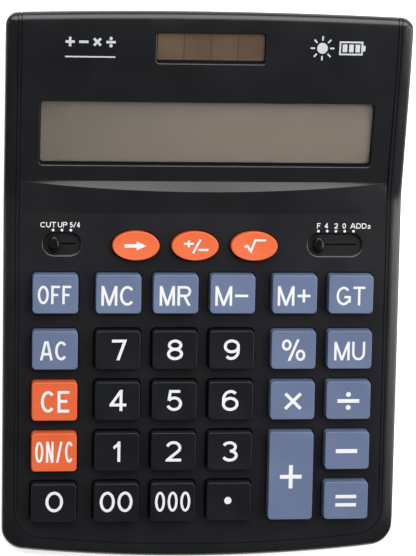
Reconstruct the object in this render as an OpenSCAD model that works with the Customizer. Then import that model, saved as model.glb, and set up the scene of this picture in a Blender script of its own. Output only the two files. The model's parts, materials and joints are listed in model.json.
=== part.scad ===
/* [Body] */
// Width of the body, side to side
body_w = 150; // [150:1:154]
// Length of the body, front to back
body_l = 206; // [206:1:210]
// Height of the keypad face above the table at its front edge
front_h = 12; // [12:0.5:14]
// Slope of the keypad face, in degrees
keypad_tilt = 4; // [3:0.5:5]
// Slope of the side rails beside the display, in degrees
rail_tilt = 17.7; // [16:0.1:18]
// Extra slope of the display panel, which sinks between the rails towards the front, in degrees
panel_extra = 1.4; // [1:0.1:1.6]
// Slope of the header behind the display, in degrees
header_tilt = 15; // [13:0.5:16]
// Place where the keypad face turns up into the side rails, from the middle of the body
kink_y = 35.4; // [35:0.1:36]
// Place where the display panel turns into the header
header_y = 77; // [76.5:0.1:77.5]
// Height of the joint between the two case halves above the table
parting_z = 7; // [6.5:0.1:7.5]
// Thickness of the case walls
wall = 2; // [1.8:0.1:2.2]

/* [Keys] */
// Distance between key columns
pitch_x = 21.44; // [21.3:0.02:21.6]
// Distance between key rows
pitch_y = 19.35; // [19.2:0.05:19.5]
// Extra gap that sets the first column and the last two columns apart
group_gap = 2.09; // [1.9:0.01:2.2]
// Extra gap that sets the memory row apart
memory_gap = 1.75; // [1.5:0.05:2]
// Width of a key at its foot
key_w = 17.9; // [17.6:0.1:18]
// Depth of a key at its foot, front to back
key_d = 15.8; // [15.5:0.1:15.9]
// Height of a key's face above the panel
key_h = 4.2; // [3.6:0.1:4.6]
// How far a key goes down
key_travel = 1.8; // [1.2:0.1:1.8]
// Gap round a key in its hole
key_gap = 0.45; // [0.35:0.05:0.5]
// Width of the three oval keys
oval_w = 17.9; // [17:0.1:18]
// Depth of the three oval keys
oval_d = 11.2; // [10.5:0.1:11.2]

/* [Switches] */
// Travel of the rounding switch, which has three positions
rounding_travel = 6.6; // [6:0.1:6.6]
// Travel of the decimal switch, which has five positions
decimal_travel = 13.2; // [12.4:0.1:13.2]

/* [Display] */
// Width of the display opening
lcd_w = 123.8; // [122:0.2:125]
// Depth of the display opening along the slope
lcd_d = 23.8; // [23:0.2:24.4]
// Width of the solar cell's opening
solar_w = 39.8; // [38:0.2:41]
// Depth of the solar cell's opening along the slope
solar_d = 10.2; // [9.6:0.2:10.6]

/* [Hidden] */
$fn = 48;
slack = 0.1;

// plan outline
front_radius = 660;
back_radius = 2130;
front_corner = 7.5;
back_corner = 4.75;
// half the distance between the side rails
rail_inner = 69.2;
foot_h = 1.5;
floor_z = foot_h + wall;
kink_z = front_h + (kink_y + body_l / 2) * tan(keypad_tilt);
header_z = kink_z + (header_y - kink_y) * tan(rail_tilt);
display_tilt = rail_tilt + panel_extra;
panel_front = 40.1;
back_z = header_z + (body_l / 2 - header_y) * tan(header_tilt);

// depths below the keypad face
flange_z = -wall - slack;
flange_t = 1;
flange_w = 0.95;
mat_top = -5.3;
mat_t = 0.8;
dome_h = key_travel + 0.25;
board_top = mat_top - mat_t - 0.05;
board_t = 1.2;
board_bottom = board_top - board_t;
board_front = -91;
board_back = 29;
board_half_w = 70;

// keys: node name, column, row, rows spanned, colour
blue = [0.42, 0.48, 0.61];
pale_blue = [0.52, 0.57, 0.69];
orange = [0.9, 0.4, 0.22];
black = [0.13, 0.13, 0.15];
KEYS = [
    ["key_off", 0, 0, 1, pale_blue], ["key_mc", 1, 0, 1, pale_blue], ["key_mr", 2, 0, 1, pale_blue],
    ["key_m_minus", 3, 0, 1, pale_blue], ["key_m_plus", 4, 0, 1, pale_blue], ["key_gt", 5, 0, 1, pale_blue],
    ["key_ac", 0, 1, 1, blue], ["key_7", 1, 1, 1, black], ["key_8", 2, 1, 1, black],
    ["key_9", 3, 1, 1, black], ["key_percent", 4, 1, 1, blue], ["key_mu", 5, 1, 1, blue],
    ["key_ce", 0, 2, 1, orange], ["key_4", 1, 2, 1, black], ["key_5", 2, 2, 1, black],
    ["key_6", 3, 2, 1, black], ["key_multiply", 4, 2, 1, blue], ["key_divide", 5, 2, 1, blue],
    ["key_on_c", 0, 3, 1, orange], ["key_1", 1, 3, 1, black], ["key_2", 2, 3, 1, black],
    ["key_3", 3, 3, 1, black], ["key_plus", 4, 3, 2, blue], ["key_minus", 5, 3, 1, blue],
    ["key_0", 0, 4, 1, black], ["key_00", 1, 4, 1, black], ["key_000", 2, 4, 1, black],
    ["key_point", 3, 4, 1, black], ["key_equals", 5, 4, 1, blue],
];
last_row_y = -80.5;
// oval keys: node name and side to side place
OVALS = [["key_shift", -25.8], ["key_sign", -3.6], ["key_root", 18.7]];
oval_y = 16.5;
oval_h = 3;

// slide switches: slot's left end, slot's right end, knob's place at rest, travel
switch_y = 16.8;
ROUNDING = [-60.1, -46.4, -56.2, rounding_travel];
DECIMAL = [39.65, 59.93, 43.6, decimal_travel];
slot_d = 8;
slot_depth = 1.4;
slot_floor = 1;
slit_d = 2.6;
knob_top = 1.2;

// display and solar openings
lcd_y = 58.25;
solar_y = 89.75;
glass_inset = 1.3;
glass_t = 1.2;
lcd_t = 2.2;
lcd_top = -glass_inset - glass_t - 0.3;
holder_top = lcd_top - 0.05;
holder_base = lcd_top - lcd_t - 1.65;

// fasteners: place in plan
CASE_SCREWS = [[-58, -94.6], [58, -94.6], [-66, 33], [66, 33], [-66, 94], [66, 94]];
BOARD_SCREWS = [[-68, -84], [68, -84], [-68, -31], [68, -31], [-68, 12], [68, 12],
    [-43.92, -51.5], [22.5, -51.5]];
HOLDER_SCREWS = [[-68, -13.5], [68, -13.5], [-68, 13.5], [68, 13.5]];
boss_r = 3;
screw_r = 1.3;
pilot_r = 1.1;
post_top = parting_z - slack;
small_screw_r = 1;
small_pilot_r = 0.85;
small_boss_r = 2.1;

// battery bay, a compartment for one cell lying across the body
cell_r = 7.25;
cell_l = 50.5;
cell_y = 86;
cell_z = 11.2;
cell_left = -24.5;
bay_left = -31;
bay_right = 28.6;
bay_front = 77.5;
bay_back = 95;
bay_top = 19;
bay_wall = 1.4;
tab_z = 16.8;
door_half_w = 30;
door_front = 76;
door_t = 1.8;
rail_w = 1.4;

// feet
FEET = [[-60, -84], [60, -84], [-60, 78], [60, 78]];
foot_r = 5;

// wire routes, round points from end to end
SOLAR_ROUTE = [[-6, 89, 35.5], [-6, 89, 32], [-7, 87.5, 29], [-10, 84, 26.5], [-15, 79, 25], [-21, 72, 23],
    [-27, 64, 20.5], [-32, 56, 17.5], [-36, 48, 15], [-39, 42, 13.8], [-40, 36, 14], [-40, 31, 15.4],
    [-40, 26, 15.6]];
CELL_ROUTE = [[0, 86, 17], [0, 82, 16], [0, 75, 13], [0, 66, 10], [0, 56, 8], [0, 46, 8], [0, 38, 10],
    [0, 33, 13.5], [0, 30, 15.6], [0, 26, 15.7]];

function panel_z(y) = front_h + (y + body_l / 2) * tan(keypad_tilt);
function display_z(y) = header_z + (y - header_y) * tan(display_tilt);
function col_x(c) = (c - 2.5) * pitch_x + (c < 1 ? -group_gap : c > 3 ? group_gap : 0);
function row_y(r) = last_row_y + (4 - r) * pitch_y + (r < 1 ? memory_gap : 0);
// distance up a slope from its start to a place in plan
function up_keypad(y) = (y + body_l / 2) / cos(keypad_tilt);
function up_display(y) = (y - header_y) / cos(display_tilt);
function up_header(y) = (y - header_y) / cos(header_tilt);

// Plan place p, at a depth z, in the frame that keypad_frame(0) makes
function on_keypad(p, z) = [p[0], up_keypad(p[1]) - up_keypad(0), z];

// Frames whose XY plane is the face of the keypad, the display panel and the header
module keypad_frame(y = -body_l / 2) {
    translate([0, -body_l / 2, front_h]) rotate([keypad_tilt, 0, 0])
        translate([0, up_keypad(y), 0]) children();
}
module display_frame(y = header_y) {
    translate([0, header_y, header_z]) rotate([display_tilt, 0, 0])
        translate([0, up_display(y), 0]) children();
}
module header_frame(y = header_y) {
    translate([0, header_y, header_z]) rotate([header_tilt, 0, 0])
        translate([0, up_header(y), 0]) children();
}

// Plan outline, inset by a distance: bowed front and back edges and round corners
function edge_y(x, r) = x * x / (2 * r);
function corner(sx, r) = [for (a = [0:15:90]) [sx * (sin(a)), 1 - cos(a)] * r];
function front_points(i) = let (w = body_w / 2 - i, r = front_corner - i)
    [for (p = corner(1, r)) let (x = w - r + p[0]) [x, -body_l / 2 + i + edge_y(x, front_radius) + p[1]]];
function back_points(i) = let (w = body_w / 2 - i, r = back_corner - i)
    [for (p = corner(1, r)) let (x = w - r + p[0]) [x, body_l / 2 - i - edge_y(x, back_radius) - p[1]]];
function bow(i, side, radius, corner_r) = let (w = body_w / 2 - corner_r)
    [for (k = [-5:5]) let (x = k * w / 6) [x, side * (body_l / 2 - i - edge_y(x, radius))]];
function mirrored(points) = [for (k = [len(points) - 1:-1:0]) [-points[k][0], points[k][1]]];
function reversed(points) = [for (k = [len(points) - 1:-1:0]) points[k]];
function outline(i) = concat(
    bow(i, -1, front_radius, front_corner),
    front_points(i),
    reversed(back_points(i)),
    reversed(bow(i, 1, back_radius, back_corner)),
    mirrored(reversed(back_points(i))),
    mirrored(front_points(i))
);

// Rectangle with round corners, centred
module round_rect(w, d, r) {
    square([w - 2 * r, d], center = true);
    square([w, d - 2 * r], center = true);
    for (sx = [-1, 1], sy = [-1, 1]) translate([sx * (w / 2 - r), sy * (d / 2 - r)]) circle(r);
}
// Slot with round ends, from x0 to x1
module stadium(x0, x1, d) {
    translate([x0 + d / 2, -d / 2]) square([x1 - x0 - d, d]);
    for (x = [x0 + d / 2, x1 - d / 2]) translate([x, 0]) circle(d / 2);
}
module ellipse(w, d) {
    polygon([for (a = [0:9:351]) [cos(a) * w / 2, sin(a) * d / 2]]);
}
// Plate from z0 to z1
module plate(z0, z1) {
    translate([0, 0, z0]) linear_extrude(z1 - z0) children();
}
// Prism of a side view, given as points [y, z], from x0 to x1
module side_prism(x0, x1, points) {
    translate([x0, 0, 0]) rotate([90, 0, 90]) linear_extrude(x1 - x0) polygon(points);
}
// Round wire along points, eight-sided
function unit(v) = v / norm(v);
function wire_ring(p, t, r) = let (n = unit(cross(t, [1, 0, 0])), b = cross(t, n))
    [for (a = [0:45:315]) p + r * (cos(a) * n + sin(a) * b)];
function tangent(ps, k) = unit(ps[min(k + 1, len(ps) - 1)] - ps[max(k - 1, 0)]);
module wire(points, r) {
    rings = [for (k = [0:len(points) - 1]) wire_ring(points[k], tangent(points, k), r)];
    n = len(points);
    polyhedron(
        [for (ring = rings) for (p = ring) p],
        concat(
            [[for (k = [7:-1:0]) k]],
            [[for (k = [0:7]) (n - 1) * 8 + k]],
            [for (j = [0:n - 2], k = [0:7]) [j * 8 + k, j * 8 + (k + 1) % 8, (j + 1) * 8 + (k + 1) % 8]],
            [for (j = [0:n - 2], k = [0:7]) [j * 8 + k, (j + 1) * 8 + (k + 1) % 8, (j + 1) * 8 + k]]));
}

// Side view of the top case's outside and inside
front_round = 3;
back_round = 4;
front_round_y = -body_l / 2 + front_round;
front_centre = [front_round_y, panel_z(front_round_y) - front_round / cos(keypad_tilt)];
front_arc = [for (k = [0:6]) let (a = 180 - k * (90 - keypad_tilt) / 6)
    front_centre + front_round * [cos(a), sin(a)]];
back_centre = [body_l / 2 - back_round,
    back_z - back_round * tan(header_tilt) - back_round / cos(header_tilt)];
back_arc = [for (k = [0:7]) let (a = (90 + header_tilt) * (1 - k / 7))
    back_centre + back_round * [cos(a), sin(a)]];
outer_view = concat([[-body_l / 2, parting_z]], front_arc, [[kink_y, kink_z], [header_y, header_z]], back_arc,
    [[body_l / 2, parting_z]]);
inner_view = [
    [-body_l / 2 - 1, parting_z - 1],
    [-body_l / 2 - 1, panel_z(-body_l / 2 - 1) - wall],
    [panel_front - 3, panel_z(panel_front - 3) - wall],
    [panel_front + 1, display_z(panel_front + 1) - wall / cos(display_tilt)],
    [header_y, header_z - wall / cos(display_tilt)],
    [body_l / 2, back_z - wall / cos(header_tilt)],
    [body_l / 2, parting_z - 1],
];

module key_hole(k) {
    rows = k[3];
    keypad_frame((row_y(k[2]) + row_y(k[2] + rows - 1)) / 2) translate([col_x(k[1]), 0, 0])
        plate(-wall - 1, 1)
            round_rect(key_w + 2 * key_gap, key_d + (rows - 1) * pitch_y + 2 * key_gap, 2.4);
}
module switch_opening(s) {
    keypad_frame(switch_y) {
        plate(-slot_depth, 1) stadium(s[0], s[1], slot_d);
        plate(-wall - 2, 1) stadium(s[2] - 1.5, s[2] + s[3] + 1.5, slit_d);
    }
}
module switch_pad(s) {
    keypad_frame(switch_y) plate(-slot_depth - slot_floor, -wall / 2) stadium(s[0] - 1, s[1] + 1, slot_d + 2);
}
// Column from the underside of the top case down to a height, with a blind hole from below
module case_boss(p) {
    translate([p[0], p[1], parting_z - 1]) cylinder(r = boss_r, h = back_z);
}
module case_pilot(p) {
    translate([p[0], p[1], parting_z - 1]) cylinder(r = pilot_r, h = 4.2);
}

module top_case() color([0.13, 0.13, 0.15]) {
    difference() {
        intersection() {
            plate(parting_z, back_z + 5) polygon(outline(0));
            side_prism(-body_w / 2 - 1, body_w / 2 + 1, outer_view);
            union() {
                difference() {
                    translate([-body_w, -body_l, 0]) cube([2 * body_w, 2 * body_l, 100]);
                    intersection() {
                        plate(parting_z - 1, back_z + 5) polygon(outline(wall));
                        side_prism(-body_w / 2, body_w / 2, inner_view);
                    }
                }
                for (p = CASE_SCREWS) case_boss(p);
                for (s = [ROUNDING, DECIMAL]) switch_pad(s);
                keypad_frame(0) for (p = BOARD_SCREWS)
                    translate(on_keypad(p, board_top)) cylinder(r = small_boss_r, h = 5);
                display_frame(lcd_y) for (p = HOLDER_SCREWS)
                    translate([p[0], p[1], holder_top - 1]) cylinder(r = small_boss_r, h = 2.6);
            }
        }
        // display pocket between the side rails
        display_frame(panel_front) translate([-rail_inner, 0, 0])
            cube([2 * rail_inner, -up_display(panel_front), 5]);
        // grooves along the side rails
        for (s = [-1, 1], x = [rail_inner, rail_inner + 1.3]) groove(s * x);
        // openings
        for (k = KEYS) key_hole(k);
        for (k = OVALS) keypad_frame(oval_y) translate([k[1], 0, 0])
            plate(-wall - 1, 1) ellipse(oval_w + 2 * key_gap, oval_d + 2 * key_gap);
        for (s = [ROUNDING, DECIMAL]) switch_opening(s);
        display_frame(lcd_y) {
            plate(-5, 5) round_rect(lcd_w, lcd_d, 1.2);
            plate(-5, -glass_inset) round_rect(lcd_w + 4, lcd_d + 3.2, 1.5);
        }
        header_frame(solar_y) {
            plate(-5, 5) round_rect(solar_w, solar_d, 0.8);
            plate(-5, -glass_inset) round_rect(solar_w + 3, solar_d + 2.6, 1);
        }
        // screw holes
        for (p = CASE_SCREWS) case_pilot(p);
        keypad_frame(0) for (p = BOARD_SCREWS)
            translate(on_keypad(p, board_top - 1)) cylinder(r = small_pilot_r, h = 4.6);
        display_frame(lcd_y) for (p = HOLDER_SCREWS)
            translate([p[0], p[1], holder_top - 2]) cylinder(r = small_pilot_r, h = 4);
    }
}
// Fine groove that follows the top of the case from front to back
module groove(x) {
    depth = 0.45;
    side_prism(x - 0.22, x + 0.22, [
        [-96, panel_z(-96) - depth], [kink_y, kink_z - depth],
        [header_y, header_z - depth], [body_l / 2 + 1, back_z + tan(header_tilt) - depth],
        [body_l / 2 + 1, back_z + 3], [header_y, header_z + 2],
        [kink_y, kink_z + 2], [-96, panel_z(-96) + 2]]);
}

module bottom_case() color([0.12, 0.12, 0.13]) {
    difference() {
        union() {
            difference() {
                plate(foot_h, parting_z) polygon(outline(0));
                plate(floor_z, parting_z + 1) polygon(outline(wall));
            }
            // locating lip inside the top case
            difference() {
                plate(floor_z, parting_z + 1.4) polygon(outline(wall + slack));
                plate(floor_z - 1, parting_z + 2) polygon(outline(wall + 1));
                for (p = CASE_SCREWS) translate([p[0], p[1], 0]) cylinder(r = boss_r + 0.4, h = 20);
            }
            for (p = CASE_SCREWS) intersection() {
                translate([p[0], p[1], foot_h]) cylinder(r = boss_r + 0.6, h = post_top - foot_h);
                plate(foot_h, post_top) polygon(outline(wall / 2));
            }
            battery_bay_walls();
        }
        for (p = CASE_SCREWS) translate([p[0], p[1], 0]) {
            cylinder(r = screw_r + 0.15, h = 10);
            translate([0, 0, foot_h - 1]) cylinder(r = 2.9, h = 3);
        }
        for (p = FEET) translate([p[0], p[1], foot_h - 1]) cylinder(r = foot_r + slack, h = 1.5);
        battery_bay_space();
        translate([-30.2, 5.8, foot_h - 1]) cube([60.4, 28.4, 1.2]);
    }
}
module battery_bay_walls() {
    translate([bay_left - bay_wall, bay_front - bay_wall, foot_h + 0.5])
        cube([
            bay_right - bay_left + 2 * bay_wall,
            bay_back - bay_front + 2 * bay_wall,
            bay_top + bay_wall - 2,
        ]);
    // rails that hold the door's tongues
    for (s = [-1, 1]) translate([s * (door_half_w + 1.6) - 1.6, door_front, foot_h])
        cube([3.2, body_l / 2 - door_front - wall, 3.4]);
}
module battery_bay_space() {
    door_gap = 0.2;
    back = body_l / 2 + 1;
    translate([bay_left, bay_front, foot_h])
        cube([bay_right - bay_left, bay_back - bay_front, bay_top - foot_h]);
    translate([-door_half_w - door_gap, door_front - door_gap, foot_h - 1])
        cube([2 * (door_half_w + door_gap), back - door_front, door_t + 1 + door_gap]);
    // slots for the tongues, and the gap in the back wall for the door's rear lip
    translate([-door_half_w - rail_w - door_gap, door_front - door_gap, foot_h + 0.6])
        cube([2 * (door_half_w + rail_w + door_gap), back - door_front, 1.2]);
    translate([-door_half_w - door_gap, body_l / 2 - wall - 0.6, foot_h - 1])
        cube([2 * (door_half_w + door_gap), 4, parting_z - foot_h + 1 - 0.4]);
    // slots for the contacts' solder tabs
    translate([bay_left - 3, cell_y - 2, tab_z - 0.3]) cube([bay_right - bay_left + 6, 4, 1]);
}

module battery_door() color([0.14, 0.14, 0.15]) {
    difference() {
        union() {
            translate([-door_half_w, door_front, foot_h])
                cube([2 * door_half_w, body_l / 2 - 0.4 - door_front, door_t]);
            translate([-door_half_w - rail_w, door_front, foot_h + 0.8])
                cube([2 * (door_half_w + rail_w), 22, 0.8]);
            translate([-door_half_w, body_l / 2 - wall, foot_h])
                cube([2 * door_half_w, wall - 0.4, parting_z - foot_h - 0.8]);
        }
        // grip ridges
        for (k = [0:3]) translate([-9, 92 + k * 2.2, foot_h - 1]) cube([18, 1.1, 1.5]);
    }
}

// Keycap: sides taper to a face with bevelled edges and a shallow dish, hollow below, with a plunger and a
// flange that stops it under the top case
module cap_view(w, foot, top) {
    taper = 0.3;
    bevel = 0.5;
    polygon([
        [-w / 2, foot], [w / 2, foot], [w / 2, 0.5],
        [w / 2 - taper, top - bevel], [w / 2 - taper - bevel, top],
        [-w / 2 + taper + bevel, top], [-w / 2 + taper, top - bevel],
        [-w / 2, 0.5]]);
}
module keycap(k) {
    rows = k[3];
    d = key_d + (rows - 1) * pitch_y;
    foot = flange_z - flange_t;
    dish_r = 90;
    domes = rows > 1 ? [-pitch_y / 2, pitch_y / 2] : [0];
    color(k[4]) keypad_frame((row_y(k[2]) + row_y(k[2] + rows - 1)) / 2) translate([col_x(k[1]), 0, 0]) {
        difference() {
            union() {
                intersection() {
                    rotate([90, 0, 0]) linear_extrude(d, center = true) cap_view(key_w, foot, key_h);
                    rotate([90, 0, 90]) linear_extrude(key_w, center = true) cap_view(d, foot, key_h);
                    plate(foot, key_h) round_rect(key_w, d, 1.6);
                }
                plate(foot, flange_z) round_rect(key_w + 2 * flange_w, d + 2 * flange_w, 2.5);
            }
            translate([0, 0, foot - 1]) linear_extrude(key_h - foot - 0.6) round_rect(key_w - 3, d - 3, 0.8);
            translate([0, 0, key_h - 0.25 + dish_r]) rotate([90, 0, 0])
                cylinder(r = dish_r, h = d - 2.4, center = true, $fn = 180);
        }
        for (y = domes) translate([0, y, foot - 0.05]) cylinder(r = 2.4, h = key_h - foot - 1.3);
    }
}
module oval_key(k) {
    foot = flange_z - flange_t;
    color(orange) keypad_frame(oval_y) translate([k[1], 0, 0]) {
        difference() {
            union() {
                plate(foot, oval_h - 0.7) ellipse(oval_w, oval_d);
                plate(foot, oval_h) ellipse(oval_w - 1, oval_d - 1);
                plate(foot, flange_z) ellipse(oval_w + 2 * flange_w, oval_d + 2 * flange_w);
            }
            plate(foot - 1, oval_h - 1.4) ellipse(oval_w - 3, oval_d - 3);
        }
        translate([0, 0, foot - 0.05]) cylinder(r = 2.4, h = oval_h - foot - 1);
    }
}

// Slide switch: grip in the slot, stem through the slit and shoe below
module knob(s) {
    color([0.11, 0.11, 0.12]) keypad_frame(switch_y) translate([s[2], 0, 0]) {
        plate(-slot_depth + slack, knob_top) ellipse(4.2, 6.2);
        plate(-slot_depth - slot_floor - 1, -slot_depth + 1) round_rect(2.2, 2, 0.4);
        plate(-slot_depth - slot_floor - 1.3, -slot_depth - slot_floor - slack) round_rect(7, 7, 0.6);
    }
}
// Sprung contact under a shoe, bent from strip
module wiper(s) {
    shoe = -slot_depth - slot_floor - 1.3;
    color([0.8, 0.7, 0.45]) keypad_frame(switch_y) translate([s[2], 0, 0])
        side_prism(-2.5, 2.5, [
            [-3.2, shoe - 0.25], [-3.2, shoe - 0.02], [3.2, shoe - 0.02], [3.2, shoe - 0.25],
            [-2.2, shoe - 0.25],
            [0.6, board_top + 0.3], [1.2, board_top + 0.3], [2.4, shoe - 0.9], [2.6, shoe - 1],
            [1.3, board_top + 0.05], [0.5, board_top + 0.05], [-2.6, shoe - 0.35]]);
}

module display_window() color([0.75, 0.78, 0.8, 0.5]) display_frame(lcd_y)
    plate(-glass_inset - glass_t, -glass_inset) round_rect(lcd_w + 3.8, lcd_d + 3, 1.4);

module lcd_panel() color([0.48, 0.45, 0.41]) display_frame(lcd_y)
    translate([-lcd_w / 2 - 1.6, -lcd_d / 2 - 1.6, lcd_top - lcd_t])
        cube([lcd_w + 3.2, lcd_d + 3.2, lcd_t]);

// Frame behind the display, screwed to the top case
module lcd_holder() color([0.85, 0.85, 0.82]) display_frame(lcd_y) difference() {
    plate(holder_base, holder_top) round_rect(lcd_w + 16.2, lcd_d + 8, 2);
    plate(holder_base + 1.5, holder_top + 1) round_rect(lcd_w + 3.8, lcd_d + 3.8, 0.4);
    // front slot for the ribbon
    translate([-31, -lcd_d / 2 - 5, holder_base + 1.5]) cube([62, 8, 6]);
    for (p = HOLDER_SCREWS) translate([p[0], p[1], holder_base - 1]) {
        cylinder(r = small_screw_r + 0.15, h = 9);
        translate([0, 0, holder_top - holder_base - slack]) cylinder(r = small_boss_r + 0.25, h = 9);
    }
}
function ribbon_side(o) = [
    [46.4, 19.4 + o], [44, 18.8 + o], [41, 17.8 + o], [37, 16.4 + o], [32, 15.6 + o], [28.5, 15.1 + o],
    [24.5, 14.82 + o]];
module lcd_ribbon() color([0.75, 0.55, 0.3])
    side_prism(-30, 30, concat(ribbon_side(0.2), reversed(ribbon_side(0))));

module solar_cell() color([0.4, 0.33, 0.26]) header_frame(solar_y)
    plate(-glass_inset - 1.1, -glass_inset) round_rect(solar_w + 2.6, solar_d + 2.2, 0.5);
module solar_bracket() color([0.2, 0.2, 0.22]) header_frame(solar_y) difference() {
    plate(-glass_inset - 3.1, -glass_inset - 1.15) round_rect(solar_w + 8, solar_d + 6, 1);
    plate(-10, 1) round_rect(solar_w - 8, solar_d - 4, 1);
}

module main_board() color([0.15, 0.4, 0.2]) keypad_frame(0) difference() {
    translate([-board_half_w, up_keypad(board_front) - up_keypad(0), board_bottom])
        cube([2 * board_half_w, board_back - board_front, board_t]);
    for (p = BOARD_SCREWS) translate(on_keypad(p, board_bottom - 1))
        cylinder(r = small_screw_r + 0.2, h = 3);
}
module controller_chip() color([0.08, 0.08, 0.08]) keypad_frame(4) intersection() {
    translate([0, 0, board_bottom + 16 - 2.2]) sphere(r = 16, $fn = 120);
    translate([0, 0, board_bottom - 3]) cylinder(r = 8, h = 3);
}
module board_capacitors() color([0.2, 0.25, 0.35]) keypad_frame(18) translate([0, 0, board_bottom]) {
    for (x = [20, 30]) translate([x, 0, -5]) cylinder(r = 2.5, h = 5);
    for (x = [-30, -24, -18]) translate([x - 1, -0.6, -0.8]) cube([2, 1.2, 0.8]);
}

// Silicone mat with one dome under each plunger
module key_mat() color([0.8, 0.8, 0.78]) keypad_frame(0) {
    spots = concat(
        [for (k = KEYS) for (r = [0:k[3] - 1]) [col_x(k[1]), up_keypad(row_y(k[2] + r)) - up_keypad(0)]],
        [for (k = OVALS) [k[1], up_keypad(oval_y) - up_keypad(0)]]);
    difference() {
        union() {
            translate(on_keypad([-65.5, board_front + 1], mat_top - mat_t)) cube([131, 98, mat_t]);
            translate([-37, 0, mat_top - mat_t]) cube([67, 23, mat_t]);
            for (p = spots) translate([p[0], p[1], mat_top - 0.2])
                cylinder(r1 = 4.6, r2 = 3, h = dome_h + 0.2);
        }
        for (p = spots) translate([p[0], p[1], mat_top - mat_t - 1])
            cylinder(r1 = 3.9, r2 = 2.4, h = dome_h + 1.2);
        for (p = BOARD_SCREWS) translate(on_keypad(p, mat_top - 2))
            cylinder(r = small_boss_r + 0.3, h = 4);
    }
}

module battery_cell() color([0.3, 0.45, 0.3]) translate([cell_left, cell_y, cell_z]) rotate([0, 90, 0]) {
    cylinder(r = cell_r, h = cell_l - 1);
    cylinder(r = 2.7, h = cell_l);
}
// Coil spring at the negative end
spring_turns = 4;
spring_steps = 16;
spring_points = spring_turns * spring_steps;
spring_l = cell_left - bay_left - 1.2;
SPRING_ROUTE = [for (k = [0:spring_points])
    let (a = k * 360 / spring_steps, f = k / spring_points, r = 4.5 - 2 * f)
    [bay_left + 0.75 + f * spring_l, cell_y + r * cos(a), cell_z + r * sin(a)]];
function spring_ring(p, k) = let (a = k * 360 / spring_steps, out = [0, cos(a), sin(a)])
    [for (b = [0:45:315]) p + 0.35 * (cos(b) * [1, 0, 0] + sin(b) * out)];
module battery_spring() color([0.75, 0.75, 0.75]) {
    rings = [for (k = [0:len(SPRING_ROUTE) - 1]) spring_ring(SPRING_ROUTE[k], k)];
    n = len(rings);
    polyhedron(
        [for (ring = rings) for (p = ring) p],
        concat(
            [[for (k = [0:7]) k]],
            [[for (k = [7:-1:0]) (n - 1) * 8 + k]],
            [for (j = [0:n - 2], k = [0:7]) [j * 8 + k, (j + 1) * 8 + (k + 1) % 8, j * 8 + (k + 1) % 8]],
            [for (j = [0:n - 2], k = [0:7]) [j * 8 + k, (j + 1) * 8 + k, (j + 1) * 8 + (k + 1) % 8]]));
    translate([bay_left + 0.05, cell_y - 6, cell_z - 6]) cube([0.4, 12, 12]);
    translate([bay_left - 3.5, cell_y - 1.5, tab_z]) cube([3.8, 3, 0.4]);
}
module battery_plate() color([0.75, 0.75, 0.75]) {
    translate([bay_right - 0.45, cell_y - 6, cell_z - 6]) cube([0.4, 12, 12]);
    translate([bay_right - 0.3, cell_y - 1.5, tab_z]) cube([3.8, 3, 0.4]);
    translate([cell_left + cell_l + 0.05, cell_y, cell_z]) rotate([0, 90, 0])
        cylinder(r = 2, h = bay_right - 0.2 - cell_left - cell_l - 0.05);
}

module leads(route, places, r) {
    for (x = places) wire([for (p = route) p + [x, 0, 0]], r);
}
module solar_leads() color([0.7, 0.1, 0.1]) leads(SOLAR_ROUTE, [0, -4], 0.5);
module battery_leads() color([0.1, 0.1, 0.1]) leads(CELL_ROUTE, [bay_left - 4.2, bay_right + 4.2], 0.6);

module case_screws() color([0.6, 0.6, 0.62]) for (p = CASE_SCREWS) translate([p[0], p[1], foot_h + 0.5]) {
    cylinder(r = 2.6, h = 1.5);
    cylinder(r = screw_r, h = 7.5);
}
module small_screw() {
    translate([0, 0, -1.1]) cylinder(r = 2, h = 1.1);
    translate([0, 0, -0.6]) cylinder(r = small_screw_r, h = 5.2);
}
module board_screws() color([0.6, 0.6, 0.62]) {
    keypad_frame(0) for (p = BOARD_SCREWS)
        translate(on_keypad(p, board_bottom - 0.02)) small_screw();
    display_frame(lcd_y) for (p = HOLDER_SCREWS)
        translate([p[0], p[1], holder_base - 0.02]) small_screw();
}
module rubber_feet() color([0.25, 0.25, 0.26]) for (p = FEET) translate([p[0], p[1], 0])
    cylinder(r = foot_r, h = foot_h + 0.48);
module rating_label() color([0.75, 0.75, 0.74]) translate([-30, 6, foot_h + 0.02]) cube([60, 28, 0.16]);

for (k = KEYS) keycap(k);
for (k = OVALS) oval_key(k);
knob(ROUNDING);  // rounding_knob
knob(DECIMAL);  // decimal_knob
wiper(ROUNDING);  // rounding_wiper
wiper(DECIMAL);  // decimal_wiper
top_case();
bottom_case();
display_window();
lcd_panel();
lcd_holder();
lcd_ribbon();
solar_cell();
solar_bracket();
main_board();
controller_chip();
board_capacitors();
key_mat();
battery_door();
battery_cell();
battery_spring();
battery_plate();
solar_leads();
battery_leads();
case_screws();
board_screws();
rubber_feet();
rating_label();
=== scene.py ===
"""Looks for the desk calculator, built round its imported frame.

Lengths are in millimetres, in the frame's own axes, and become metres where a mesh is made. The camera and
the lights at the end are in metres.
"""
import json
import math

import bmesh
import bpy
import numpy as np
from mathutils import Matrix, Vector
from mathutils.geometry import delaunay_2d_cdt


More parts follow.
